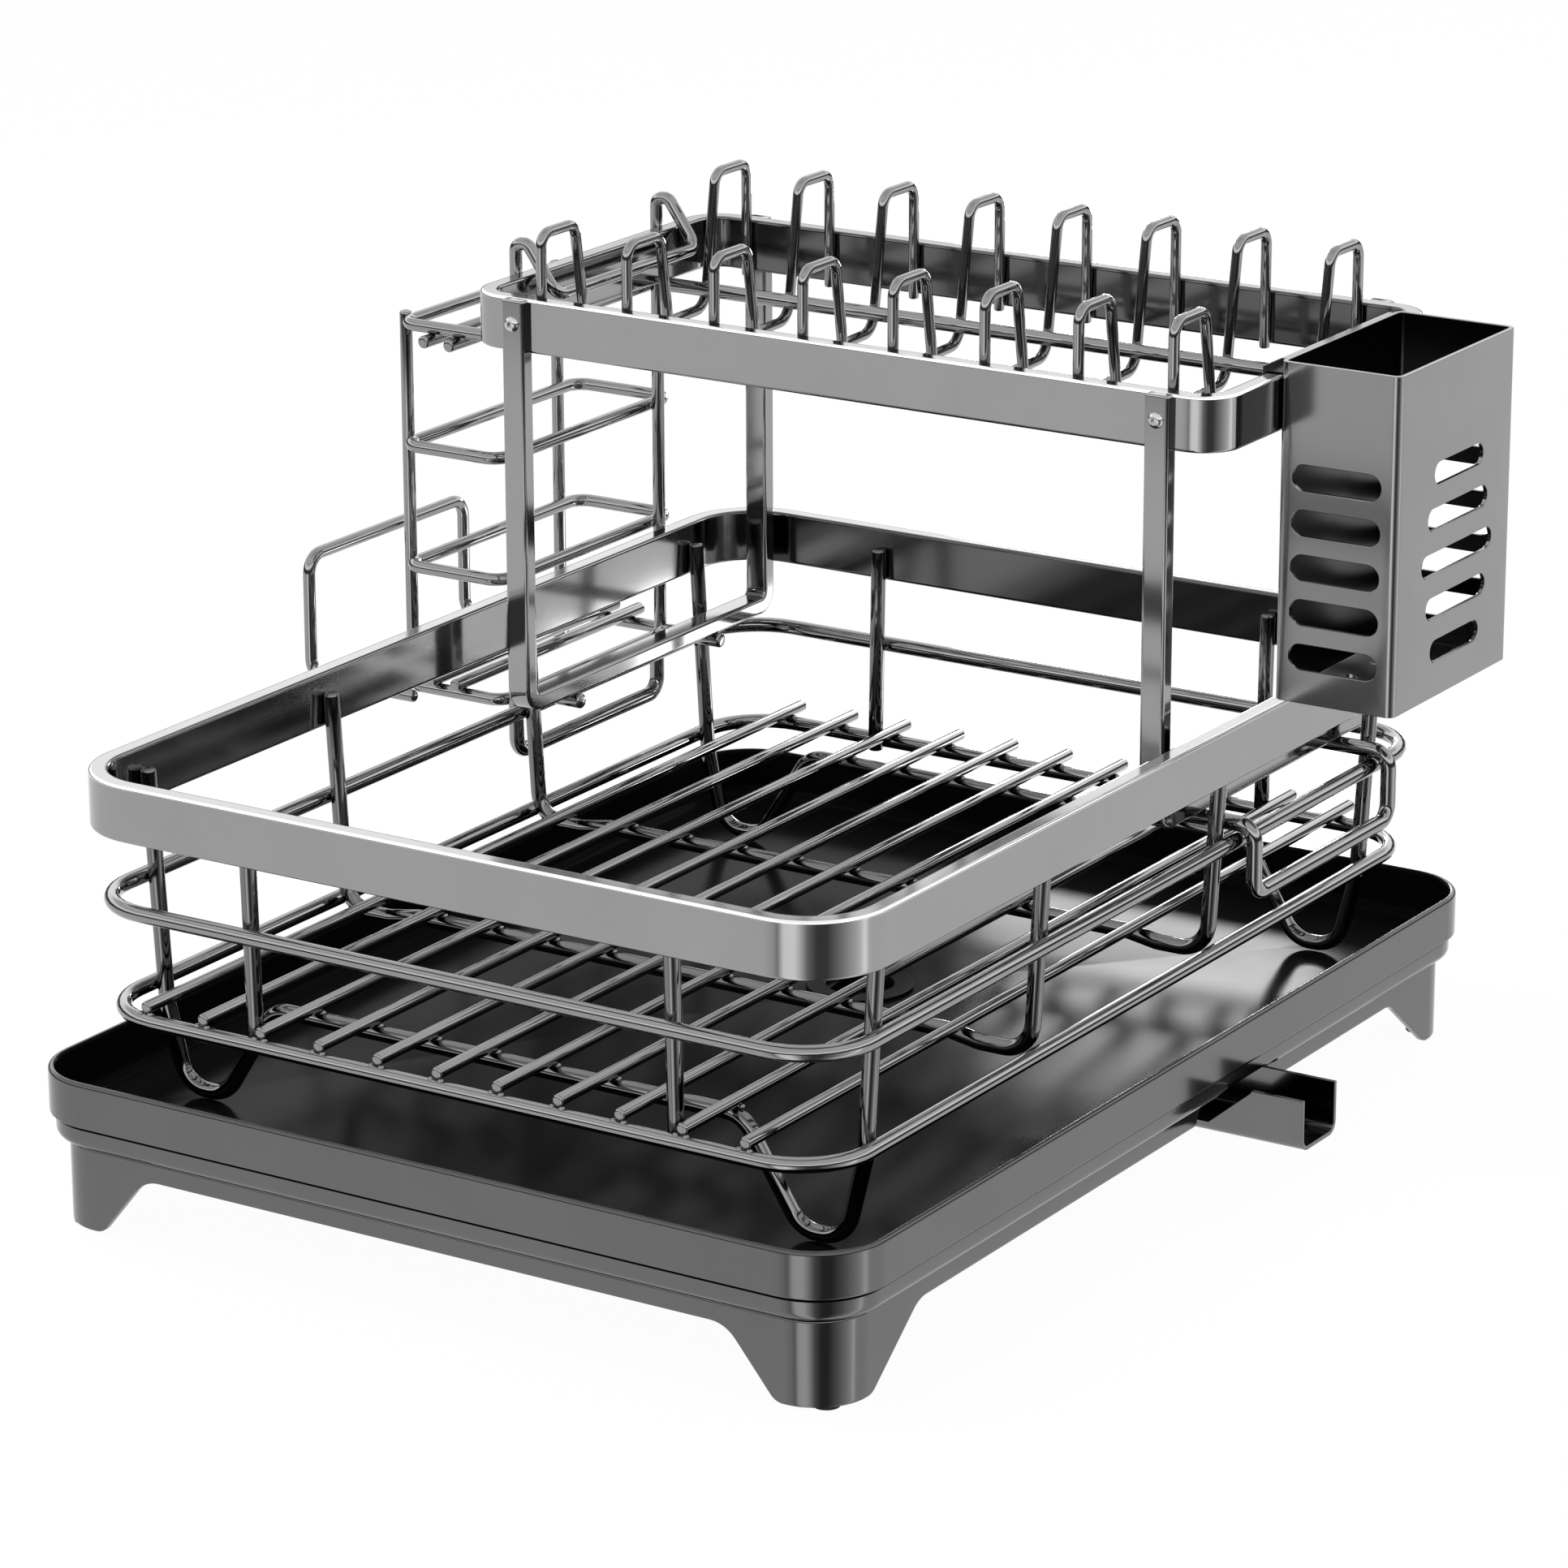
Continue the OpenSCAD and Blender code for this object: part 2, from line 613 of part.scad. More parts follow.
module drain_collar() {
  color("black") translate([0, drain_y, 0]) difference() {
    union() {
      translate([0, 0, drain_z]) cylinder(h = flange_t, d = flange_d);
      translate([0, 0, snap_z - flange_t]) cylinder(h = drain_z + flange_t - snap_z + flange_t, d = sleeve_d);
      translate([0, 0, snap_z - flange_t]) cylinder(h = flange_t, d = sleeve_d + 2 * snap_lip);
    }
    translate([0, 0, snap_z - 2 * flange_t]) cylinder(h = drain_z, d = drain_d);
  }
}

module spout_section(w, r) {
  translate([-w / 2, r]) square([w, spout_top_z - spout_z]);
  translate([-w / 2 + r, 0]) square([w - 2 * r, r + 1]);
  for (s = [-1, 1]) translate([s * (w / 2 - r), r]) circle(r);
}

// A trough on a round cup; the cup's top ring turns on the drain collar
module swivel_spout() {
  h = spout_top_z - spout_z;
  color("black") translate([0, drain_y, 0]) difference() {
    union() {
      translate([0, 0, spout_z]) cylinder(h = hub_top_z - spout_z, d = cup_d);
      translate([0, 0, spout_z]) rotate([90, 0, 90]) intersection() {
        linear_extrude(spout_end_x) spout_section(spout_w, spout_corner_r);
        translate([-spout_w, 0, 0]) cube([2 * spout_w, h, spout_end_x]);
      }
    }
    translate([0, 0, spout_z + spout_wall])
      cylinder(h = hub_low_z - spout_z - spout_wall, d = cup_d - 2 * spout_wall);
    translate([0, 0, spout_z]) cylinder(h = hub_top_z, d = hub_d);
    spout_bore(0, cup_d / 2, hub_low_z);
    spout_bore(cup_d / 2 - 0.01, spout_end_x + cut, spout_top_z + cut);
    near_wall_notch();
  }
}

module spout_bore(x0, x1, top) {
  translate([x0, 0, spout_z + spout_wall]) rotate([90, 0, 90]) linear_extrude(x1 - x0) intersection() {
    spout_section(spout_w - 2 * spout_wall, spout_corner_r - spout_wall);
    translate([-spout_w, 0]) square([2 * spout_w, top - spout_z - spout_wall]);
  }
}

module near_wall_notch() {
  full_x = skirt_x + notch_reach;
  low_x = full_x - notch_slope;
  translate([0, -spout_w / 2 + spout_wall + 0.01, 0]) rotate([90, 0, 0]) linear_extrude(spout_wall + cut)
    polygon([[full_x + cut, spout_top_z + cut], [full_x, spout_top_z - 1], [low_x, spout_z + notch_low],
             [low_x - notch_run, spout_z + notch_low],
             [low_x - notch_run - notch_back, spout_top_z + cut]]);
}

module basket_rim_band() {
  color("gray") band(-rim_x, rim_x, -rim_y, rim_y, basket_h, rim_h, rim_corner_r);
}

module basket_mid_ring() {
  color("gray") ring(mid_ring_x, mid_ring_y, mid_ring_z, frame_wire_d, ring_corner_r);
}

module basket_bottom_ring() {
  color("gray") ring(bottom_ring_x, bottom_ring_y, bottom_ring_z, bottom_wire_d, ring_corner_r);
}

module floor_wire(i) {
  x = floor_wire_x(i);
  rear = bottom_ring_y + floor_overhang;
  color("gray") wire([[x, -bottom_ring_y, floor_wire_z], [x, rear, floor_wire_z]], floor_wire_d);
}

function mirrored(half) = concat(half, [for (i = [len(half) - 1:-1:0]) [-half[i].x, half[i].y, half[i].z]]);

// One wire from rim to rim: down a side, round a foot, under the floor wires and up again
module foot_wire(y) {
  inner_x = foot_corner_x - foot_base;
  kink_z = bottom_ring_z - bottom_wire_d;
  half = [[upright_x(upright_top_z), y, upright_top_z], [upright_x(kink_z), y, kink_z],
          [foot_corner_x, y, foot_z], [inner_x, y, foot_z], [inner_x - foot_run, y, run_z]];
  color("gray") wire(mirrored(half), frame_wire_d, foot_bend_r);
}

// One wire from rim to rim: down a side, a low heel, under the floor wires and up again
module cross_wire(y) {
  low_z = run_z - heel_dip;
  corner_x = upright_x(low_z);
  half = [[upright_x(upright_top_z), y, upright_top_z], [corner_x, y, low_z],
          [corner_x - heel_run, y, low_z], [corner_x - heel_run - heel_ramp, y, run_z]];
  color("gray") wire(mirrored(half), frame_wire_d, foot_bend_r);
}

module upright(x, side) {
  low_z = bottom_ring_z - bottom_wire_d / 2;
  color("gray") wire([[x, side * upright_y(low_z), low_z],
                      [x, side * upright_y(upright_top_z), upright_top_z]], frame_wire_d);
}

module tier_band() {
  color("gray") difference() {
    band(-rim_x, rim_x, tier_front_y, tier_back_y, tier_top, tier_band_h, tier_corner_r);
    leg_screw_shanks(screw_d);
  }
}

// A U of flat bar: its ends are lapped over the band, the rest stands below it
module leg(side) {
  x = side * leg_x;
  front = tier_front_y - leg_proud + leg_t / 2;
  back = tier_back_y + leg_proud - leg_t / 2;
  low = leg_low_z + leg_t / 2;
  color("gray") difference() {
    bent_bar([[x, front, tier_top], [x, front, low], [x, back, low], [x, back, tier_top]],
             leg_bend_r - leg_t / 2) leg_section();
    translate([x - leg_w, tier_front_y, tier_low]) cube([2 * leg_w, tier_y, tier_band_h + cut]);
    leg_screw_shanks(screw_d + seat_gap);
  }
}

module leg_section() {
  round_rect(leg_t, leg_w, bar_edge_r);
}

module leg_screw_shanks(d) {
  for (sx = [-1, 1], end = [-1, 1])
    translate([sx * leg_x, tier_mid_y + end * (tier_y / 2 - screw_grip), screw_z])
      rotate([-90 * end, 0, 0]) cylinder(h = screw_grip + leg_proud, d = d);
}

module leg_screws() {
  color("silver") {
    leg_screw_shanks(screw_d);
    for (sx = [-1, 1], end = [-1, 1])
      translate([sx * leg_x, tier_mid_y + end * (tier_y / 2 + leg_proud), screw_z])
        rotate([-90 * end, 0, 0]) screw_head();
  }
}

// A domed head with a six-sided socket
module screw_head() {
  flat_d = screw_head_d * 0.6;
  difference() {
    union() {
      cylinder(h = screw_head_h * 0.4, d = screw_head_d);
      translate([0, 0, screw_head_h * 0.4])
        cylinder(h = screw_head_h * 0.6, d1 = screw_head_d, d2 = flat_d);
    }
    translate([0, 0, screw_head_h * 0.5]) cylinder(h = screw_head_h, d = flat_d * 0.7, $fn = 6);
  }
}

// Two hooks over the basket's middle ring, joined below it; they end under the leg
module hanger_loop(side, rear_y) {
  end_x = side * (leg_x - leg_w / 2 - loop_end);
  x = side * loop_x;
  low = loop_z - loop_drop;
  color("gray") wire([[end_x, loop_front_y, loop_z], [x, loop_front_y, loop_z], [x, loop_front_y, low],
                      [x, rear_y, low], [x, rear_y, loop_z], [end_x, rear_y, loop_z]],
                     loop_wire_d, loop_bend_r);
}

// One wire: up from the front band, over, down, along the floor and the same at the back
module plate_wire(i) {
  front_x = plate_wire_x(i) + plate_skew / 2;
  back_x = plate_wire_x(i) - plate_skew / 2;
  half = [[plate_outer_half, plate_end_z], [plate_outer_half, plate_top_z],
          [plate_top_half, plate_top_z], [plate_low_half, plate_low_z]];
  front = [for (p = half) [front_x, tier_mid_y - p[0], p[1]]];
  back = [for (k = [len(half) - 1:-1:0]) [back_x, tier_mid_y + half[k][0], half[k][1]]];
  color("gray") wire(concat(front, back), plate_wire_d,
    [1, plate_top_r, plate_top_r, plate_low_r, plate_low_r, plate_top_r, plate_top_r, 1]);
}

module support_wire(end) {
  x = tier_inner_x + weld_bite;
  y = tier_mid_y + end * support_half;
  color("gray") wire([[-x, y, support_z], [x, y, support_z]], support_wire_d);
}

module slot(l, h, depth) {
  rotate([90, 0, 0]) linear_extrude(depth, center = true) {
    square([l - h, h], center = true);
    for (s = [-1, 1]) translate([s * (l - h) / 2, 0]) circle(h / 2);
  }
}

// An open-topped box with slots in three faces and weep holes in its floor
module holder_shell() {
  mid_x = holder_left + holder_x / 2;
  inner_x = holder_x - 2 * holder_wall;
  inner_y = holder_y - 2 * holder_wall;
  color("gray") translate([mid_x, holder_mid_y, holder_low]) difference() {
    linear_extrude(holder_h) round_rect(holder_x, holder_y, holder_edge_r);
    translate([0, 0, holder_wall]) linear_extrude(holder_h)
      round_rect(inner_x, inner_y, holder_edge_r - holder_wall + 0.4);
    for (row = [0:slot_rows - 1]) {
      off = row - (slot_rows - 1) / 2;
      z = slot_mid_z + off * slot_pitch;
      translate([face_slot_shift, 0, z]) slot(face_slot_l, face_slot_h, holder_y + 2 * cut);
      translate([holder_x / 2, side_slot_shift, z]) rotate([0, 0, 90])
        slot(side_slot_l - abs(off) * side_slot_step, side_slot_h, 2 * holder_wall + cut);
    }
    for (ix = [-0.5, 0.5], iy = [-1.5:1:1.5])
      translate([ix * inner_x / 2, iy * inner_y / 4, -cut]) cylinder(h = holder_wall + 2 * cut, d = weep_d);
  }
}

// A folded lip along the holder's inner wall that drops over the tier's band
module holder_hook() {
  edge = 4;
  inner = tier_inner_x - lift_gap;
  over = tier_top + lift_gap;
  length = holder_y - 2 * edge;
  seam = holder_left + weld_bite;
  color("gray") translate([0, holder_front + edge, 0]) mirror([0, 1, 0]) rotate([90, 0, 0])
    linear_extrude(length)
      polygon([[seam, over], [seam, holder_top], [holder_left - hook_t, holder_top],
               [inner - hook_t, over + hook_t], [inner - hook_t, tier_top - hook_reach],
               [inner, tier_top - hook_reach], [inner, over]]);
}

module cage_ring(z) {
  color("dimgray") wire(corners(cage_left, cage_right, cage_front_y, cage_front_y + cage_y, z),
                        cage_wire_d, cage_corner_r, true);
}

// One wire: up the cage's inner side, over the band, down inside it and back the same way
module cage_hook_frame() {
  top = tier_top + hook_rise;
  bar_x = -(tier_inner_x - hook_play - cage_wire_d / 2);
  top_x = hook_x + hook_span;
  bar_z = tier_top - hook_bar_drop;
  low = shelf_z - cage_wire_d / 2;
  color("dimgray") wire(
    [[hook_x, hook_front_y, low], [hook_x, hook_front_y, top], [top_x, hook_front_y, top],
     [bar_x, hook_front_y, bar_z], [bar_x, hook_rear_y, bar_z], [top_x, hook_rear_y, top],
     [hook_x, hook_rear_y, top], [hook_x, hook_rear_y, low]],
    cage_wire_d, [1, hook_top_r, hook_top_r, hook_bar_r, hook_bar_r, hook_top_r, hook_top_r, 1]);
}

module cage_upright(y) {
  color("dimgray") wire([[outer_x, y, shelf_z - cage_wire_d / 2], [outer_x, y, cage_top_z + cage_wire_d / 2]],
                        cage_wire_d);
}

// Two long bars across the cage, laid on or hung under a ring
module cage_bars(z) {
  mid = cage_front_y + cage_y / 2;
  for (x = [cage_left + outer_bar_x, cage_left + outer_bar_x + bar_gap])
    color("dimgray") wire([[x, mid - bar_y / 2, z], [x, mid + bar_y / 2, z]], cage_wire_d);
}

module cup_rail() {
  end_x = cage_left + cage_wire_d / 2;
  back = rail_front_y + rail_y;
  top = rail_z + rail_h;
  color("dimgray") wire([[end_x, rail_front_y, rail_z], [rail_x, rail_front_y, rail_z],
                         [rail_x, rail_front_y, top], [rail_x, back, top], [rail_x, back, rail_z],
                         [end_x, back, rail_z]], cage_wire_d, rail_bend_r);
}

place() tray_basin();
place() tray_skirt();
place() foot_pads();
place() drain_collar();
place() swivel_spout();
place() basket_rim_band();
place() basket_mid_ring();
place() basket_bottom_ring();
for (i = [1:floor_wires])
  place() floor_wire(i);
place() foot_wire(-foot_wire_y);  // front_foot_wire
place() foot_wire(foot_wire_y);  // rear_foot_wire
place() cross_wire(front_cross_y);  // front_cross_wire
place() cross_wire(rear_cross_y);  // rear_cross_wire
place() upright(left_upright_x, -1);  // front_left_upright
place() upright(right_upright_x, -1);  // front_right_upright
place() upright(left_upright_x, 1);  // rear_left_upright
place() upright(right_upright_x, 1);  // rear_right_upright
place() tier_band();
place() leg(-1);  // left_leg
place() leg(1);  // right_leg
place() leg_screws();
place() hanger_loop(-1, left_loop_rear_y);  // left_hanger_loop
place() hanger_loop(1, right_loop_rear_y);  // right_hanger_loop
for (i = [1:plate_wires])
  place() plate_wire(i);
place() support_wire(-1);  // front_support_wire
place() support_wire(1);  // rear_support_wire
place() holder_shell();
place() holder_hook();
for (row = [1:cage_rows - 1])
  place() cage_ring(cage_top_z - (row - 1) * cage_ring_pitch);
place() cage_ring(shelf_z);  // cage_shelf_ring
place() cage_hook_frame();
place() cage_upright(outer_front_y);  // cage_front_upright
place() cage_upright(outer_rear_y);  // cage_rear_upright
place() cage_bars(cage_top_z - cage_wire_d + weld_bite);  // cage_top_bars
place() cage_bars(shelf_z + cage_wire_d - weld_bite);  // cage_shelf_bars
place() cup_rail();
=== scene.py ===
"""A two-tier dish rack: a wire basket in a drip tray, with a plate tier and two hung-on holders."""
import math

import bmesh
import bpy
from mathutils import Matrix, Vector


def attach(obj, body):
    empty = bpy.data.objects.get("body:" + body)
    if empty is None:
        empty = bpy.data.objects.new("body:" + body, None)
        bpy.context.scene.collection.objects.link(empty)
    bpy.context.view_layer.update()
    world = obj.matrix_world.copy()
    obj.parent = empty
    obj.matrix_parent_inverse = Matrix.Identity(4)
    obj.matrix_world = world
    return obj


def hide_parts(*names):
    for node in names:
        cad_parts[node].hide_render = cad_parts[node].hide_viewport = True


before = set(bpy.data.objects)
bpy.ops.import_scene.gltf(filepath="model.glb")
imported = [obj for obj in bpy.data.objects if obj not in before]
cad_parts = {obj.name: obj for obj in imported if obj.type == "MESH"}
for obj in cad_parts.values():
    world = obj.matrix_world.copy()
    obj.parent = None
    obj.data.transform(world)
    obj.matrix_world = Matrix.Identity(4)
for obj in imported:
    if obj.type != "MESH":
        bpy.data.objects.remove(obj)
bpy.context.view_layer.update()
scene = bpy.context.scene
MM = 0.001

# Camera.
# A long lens looks down on the rack's near right corner from well away,
# as the photograph was taken.
AROUND, DOWN, LEAN = 32.625, 17.653, -0.195  # degrees
camera_data = bpy.data.cameras.new("camera")
camera_data.lens = 141.67
camera_data.sensor_width = 36
camera_data.clip_end = 30
camera = bpy.data.objects.new("camera", camera_data)
scene.collection.objects.link(camera)
camera.location = (1.10405, -1.6818, 0.7581)
camera.rotation_euler = (Matrix.Rotation(math.radians(AROUND), 3, "Z")
                         @ Matrix.Rotation(math.radians(90 - DOWN), 3, "X")
                         @ Matrix.Rotation(math.radians(LEAN), 3, "Z")).to_euler()
scene.camera = camera
scene.view_settings.view_transform = "Standard"


# Studio.
# The rack stands on a white sweep under soft lamps. Gloss sees a grey room instead. Its
# light changes with the direction below the horizon, with the height above it.
class Socket:
    """One shader socket that takes part in plain arithmetic."""

    def __init__(self, tree, socket):
        self.tree = tree
        self.socket = socket

    def maths(self, operation, first, second=None):
        node = self.tree.nodes.new("ShaderNodeMath")
        node.operation = operation
        for slot, value in zip(node.inputs, (first, second)):
            if isinstance(value, Socket):
                self.tree.links.new(value.socket, slot)
            elif value is not None:
                slot.default_value = value
        return Socket(self.tree, node.outputs[0])

    def __add__(self, other):
        return self.maths("ADD", self, other)

    def __sub__(self, other):
        return self.maths("SUBTRACT", self, other)

    def __rsub__(self, other):
        return self.maths("SUBTRACT", other, self)

    def __mul__(self, other):
        return self.maths("MULTIPLY", self, other)

    __radd__ = __add__
    __rmul__ = __mul__

    def most(self, other):
        return self.maths("MAXIMUM", self, other)


class Finish:
    """A material's or the world's node tree, with one way to add a node."""

    def __init__(self, owner, output):
        owner.use_nodes = True
        self.owner = owner
        self.tree = owner.node_tree
        self.tree.nodes.clear()
        self.output = self.tree.nodes.new(output)

    def add(self, kind, settings=None, out=0, **values):
        """Add a node. A socket goes by its name, or by its number after an underscore."""
        node = self.tree.nodes.new(kind)
        for name, value in (settings or {}).items():
            if name == "stops":
                marks = node.color_ramp.elements
                marks.remove(marks[-1])
                for i, (place, tone) in enumerate(value):
                    mark = marks.new(place) if i else marks[0]
                    mark.position = place
                    mark.color = (tone, tone, tone, 1)
            else:
                setattr(node, name, value)
        for name, value in values.items():
            key = int(name[1:]) if name[1:].isdigit() else name.replace("_", " ")
            if isinstance(value, Socket):
                self.tree.links.new(value.socket, node.inputs[key])
            else:
                node.inputs[key].default_value = value
        return Socket(self.tree, node.outputs[out])

    def close(self, shader):
        self.tree.links.new(shader.socket, self.output.inputs["Surface"])
        return self.owner


WHITE = (1, 1, 1, 1)
NEAR_WAY = 57.4  # the light round the rack is told in degrees from this far clockwise of +X
LIGHT_AROUND = ((-180, 1.0), (-60, 1.0), (-48, 0.8), (-42, 0.45), (-34, 1.7), (-20, 1.75),
                (-4, 0.35), (8, 0.1), (22, 0.1), (40, 0.42), (60, 0.95), (68, 1.3), (74, 2.0),
                (80, 1.1), (88, 1.0), (180, 1.0))
LIGHT_ABOVE = ((0.0, 0.05), (0.16, 0.1), (0.25, 1.8), (0.4, 1.8), (0.48, 1.1), (0.6, 0.9),
               (0.66, 1.1), (0.85, 1.1), (1.0, 0.8))
DIM_FOOT = ((0.04, 0.2), (0.12, 1.0))  # share of the low light that is left just under the horizon
FULL = 2.0  # a ramp's white stands for this much light
world = bpy.data.worlds.new("studio")
scene.world = world
room = Finish(world, "ShaderNodeOutputWorld")
direction = room.add("ShaderNodeTexCoord", out="Generated")
height = room.add("ShaderNodeSeparateXYZ", out="Z", Vector=direction)
turned = room.add("ShaderNodeMapping", Vector=direction, Rotation=(0, 0, math.radians(NEAR_WAY)))
around = room.add("ShaderNodeTexGradient", {"gradient_type": "RADIAL"}, out="Fac", Vector=turned)
low_light = room.add("ShaderNodeValToRGB", Fac=around, settings={
    "stops": [(0.5 + degrees / 360, light / FULL) for degrees, light in LIGHT_AROUND]})
high_light = room.add("ShaderNodeValToRGB", Fac=height, settings={
    "stops": [(place, light / FULL) for place, light in LIGHT_ABOVE]})
underfoot = room.add("ShaderNodeValToRGB", {"stops": DIM_FOOT}, Fac=height * -1)
above = room.add("ShaderNodeMath", {"operation": "GREATER_THAN"}, _0=height, _1=0.0)
gloss_light = (low_light * underfoot * (1 - above) + high_light * above) * FULL
mirror_light = room.add("ShaderNodeBackground", Color=gloss_light, Strength=1.0)
room_light = room.add("ShaderNodeBackground", Color=WHITE, Strength=0.45)
camera_light = room.add("ShaderNodeBackground", Color=WHITE, Strength=1.0)
is_mirror = room.add("ShaderNodeLightPath", out="Is Glossy Ray")
is_seen = room.add("ShaderNodeLightPath", out="Is Camera Ray").most(
    room.add("ShaderNodeLightPath", out="Is Transmission Ray"))
indoors = room.add("ShaderNodeMixShader", _0=is_mirror, _1=room_light, _2=mirror_light)
room.close(room.add("ShaderNodeMixShader", _0=is_seen, _1=indoors, _2=camera_light))

SWEEP = 9  # metres from the sweep's middle to its edges
PAPER_GLOW = 0.96  # share of the sweep's look that is plain white
sweep_mesh = bpy.data.meshes.new("sweep")
sweep_mesh.from_pydata([(-SWEEP, -SWEEP, 0), (SWEEP, -SWEEP, 0), (SWEEP, SWEEP, 0), (-SWEEP, SWEEP, 0)],
                       [], [(0, 1, 2, 3)])
sweep = bpy.data.objects.new("sweep", sweep_mesh)
scene.collection.objects.link(sweep)
paper = Finish(bpy.data.materials.new("white paper"), "ShaderNodeOutputMaterial")
lit = paper.add("ShaderNodeBsdfDiffuse", Color=(0.85, 0.85, 0.85, 1))
glow = paper.add("ShaderNodeEmission", Color=WHITE, Strength=1.01)
seen = paper.add("ShaderNodeLightPath", out="Is Camera Ray").most(
    paper.add("ShaderNodeLightPath", out="Is Transmission Ray"))
paper_face = paper.add("ShaderNodeMixShader", _0=seen * PAPER_GLOW, _1=lit, _2=glow)
sweep_mesh.materials.append(paper.close(paper_face))
sweep.visible_glossy = False


def card(name, corner, across, up, strength):
    """A bright card that shows only in gloss: one corner and two edges, in millimetres."""
    corner, across, up = (Vector(edge) * MM for edge in (corner, across, up))
    mesh = bpy.data.meshes.new(name)
    mesh.from_pydata([corner, corner + across, corner + across + up, corner + up], [], [(0, 1, 2, 3)])
    board = bpy.data.objects.new(name, mesh)
    scene.collection.objects.link(board)
    face = Finish(bpy.data.materials.new(name), "ShaderNodeOutputMaterial")
    mesh.materials.append(face.close(face.add("ShaderNodeEmission", Color=WHITE, Strength=strength)))
    board.visible_camera = False
    board.visible_diffuse = False
    board.visible_transmission = False
    board.visible_shadow = False


card("tray card", corner=(-250, 585, 188), across=(175, 0, 0), up=(0, 0, 60), strength=27.0)
card("rim card", corner=(56, 330, 1), across=(0, 130, 0), up=(0, 0, 45), strength=7.0)


def soft_box(name, place, target, width, depth, power):
    """A soft lamp in metres and watts that gives light and shows in no gloss."""
    light = bpy.data.lights.new(name, "AREA")
    light.shape = "RECTANGLE"
    light.size = width
    light.size_y = depth
    light.energy = power
    lamp = bpy.data.objects.new(name, light)
    lamp.location = place
    lamp.rotation_euler = (Vector(target) - Vector(place)).to_track_quat("-Z", "Y").to_euler()
    lamp.visible_glossy = False
    scene.collection.objects.link(lamp)


soft_box("overhead box", (-0.5, -0.4, 2.2), target=(0, 0, 0.1), width=1.1, depth=0.5, power=26)
soft_box("rear box", (0.9, 2.0, 1.5), target=(0, 0, 0.15), width=1.2, depth=0.4, power=22)
soft_box("left box", (-2.1, -0.7, 1.0), target=(0, 0, 0.15), width=0.5, depth=1.2, power=14)


# Basket rim.
# A flat steel bar bent to a rounded rectangle and butt-welded. Its thin dark mirror coat
# has painted shade on the inner side and a painted highlight on the eased outer top edge.
def coat(name, tone, rough, metallic=1.0, ripple=0.02, gloss=1.45):
    """A coat of one tone with a faint ripple, a little lighter and duller in clouds.

    Gloss is its index of refraction, which counts where it isn't metal."""
    finish = Finish(bpy.data.materials.new(name), "ShaderNodeOutputMaterial")
    place = finish.add("ShaderNodeTexCoord", out="Object")
    cloud = finish.add("ShaderNodeTexNoise", Vector=place, Scale=26.0, Detail=4.0, Roughness=0.6)
    wave = finish.add("ShaderNodeTexNoise", Vector=place, Scale=150.0, Detail=1.0)
    tones = [(0.3, tone * 0.96), (0.7, tone * 1.03)]
    shade = finish.add("ShaderNodeValToRGB", {"stops": tones}, Fac=cloud)
    bump = finish.add("ShaderNodeBump", Strength=ripple, Distance=0.3 * MM, Height=wave)
    return finish.close(finish.add(
        "ShaderNodeBsdfPrincipled", Base_Color=shade, Metallic=metallic,
        Roughness=cloud * 0.06 + (rough - 0.03), IOR=gloss, Normal=bump))


TRAY_X = 25.35  # the tray stands this far right of the middle of the whole rack
HOLD = 0.25  # a loop of points this near a bend keeps the flat beside it flat


def spot(point):
    """A place in millimetres from the tray's middle, in the rack's own frame."""
    return Vector(((point[0] + TRAY_X) * MM, point[1] * MM, point[2] * MM))


def corners(x0, x1, y0, y1, z):
    return [(x0, y0, z), (x1, y0, z), (x1, y1, z), (x0, y1, z)]


def bent(points, bend=0.0, closed=False, steps=9):
    """The centre line of a bar bent at its inner points, on one radius or one for each."""
    points = [Vector(point) for point in points]
    line = []
    for i, corner in enumerate(points):
        if not closed and i in (0, len(points) - 1):
            line.append(corner)
            continue
        radius = bend[i] if isinstance(bend, tuple) else bend
        back = (points[i - 1] - corner).normalized()
        onward = (points[(i + 1) % len(points)] - corner).normalized()
        half = back.angle(onward) / 2
        reach = radius / math.tan(half)
        centre = corner + (back + onward).normalized() * radius / math.sin(half)
        spoke = corner + back * reach - centre
        axis = spoke.cross(corner + onward * reach - centre)
        sweep_angle = math.pi - 2 * half
        turns = [Matrix.Rotation(sweep_angle * step / steps, 3, axis) for step in range(steps + 1)]
        line.append(corner + back * (reach + HOLD))
        line += [centre + turn @ spoke for turn in turns]
        line.append(corner + onward * (reach + HOLD))
    return line


def strip(thick, wide, edge, steps=4):
    """Section of a flat bar with rounded edges."""
    points = []
    for quarter, (sx, sy) in enumerate(((1, 1), (-1, 1), (-1, -1), (1, -1))):
        middle = Vector((sx * (thick / 2 - edge), sy * (wide / 2 - edge)))
        angles = [math.radians(90 * (quarter + step / steps)) for step in range(steps + 1)]
        arc = [middle + edge * Vector((math.cos(a), math.sin(a))) for a in angles]
        first, last = angles[0], angles[-1]
        points.append(arc[0] + HOLD * Vector((math.sin(first), -math.cos(first))))
        points += arc
        points.append(arc[-1] + HOLD * Vector((-math.sin(last), math.cos(last))))
    return [tuple(point) for point in points]


def eased_ends(line, size, ease):
    """Places along an open bar, each with its share of the full section, rounded at the ends."""
    eased = []
    for a in (90, 60, 30, 0):
        depth = ease * (1 - math.sin(math.radians(a)))
        eased.append((depth, 1 - ease / size * (1 - math.cos(math.radians(a)))))
    head = (line[1] - line[0]).normalized()
    tail = (line[-2] - line[-1]).normalized()
    return ([(line[0] + head * depth, share) for depth, share in eased]
            + [(point, 1.0) for point in line[1:-1]]
            + [(line[-1] + tail * depth, share) for depth, share in reversed(eased)])


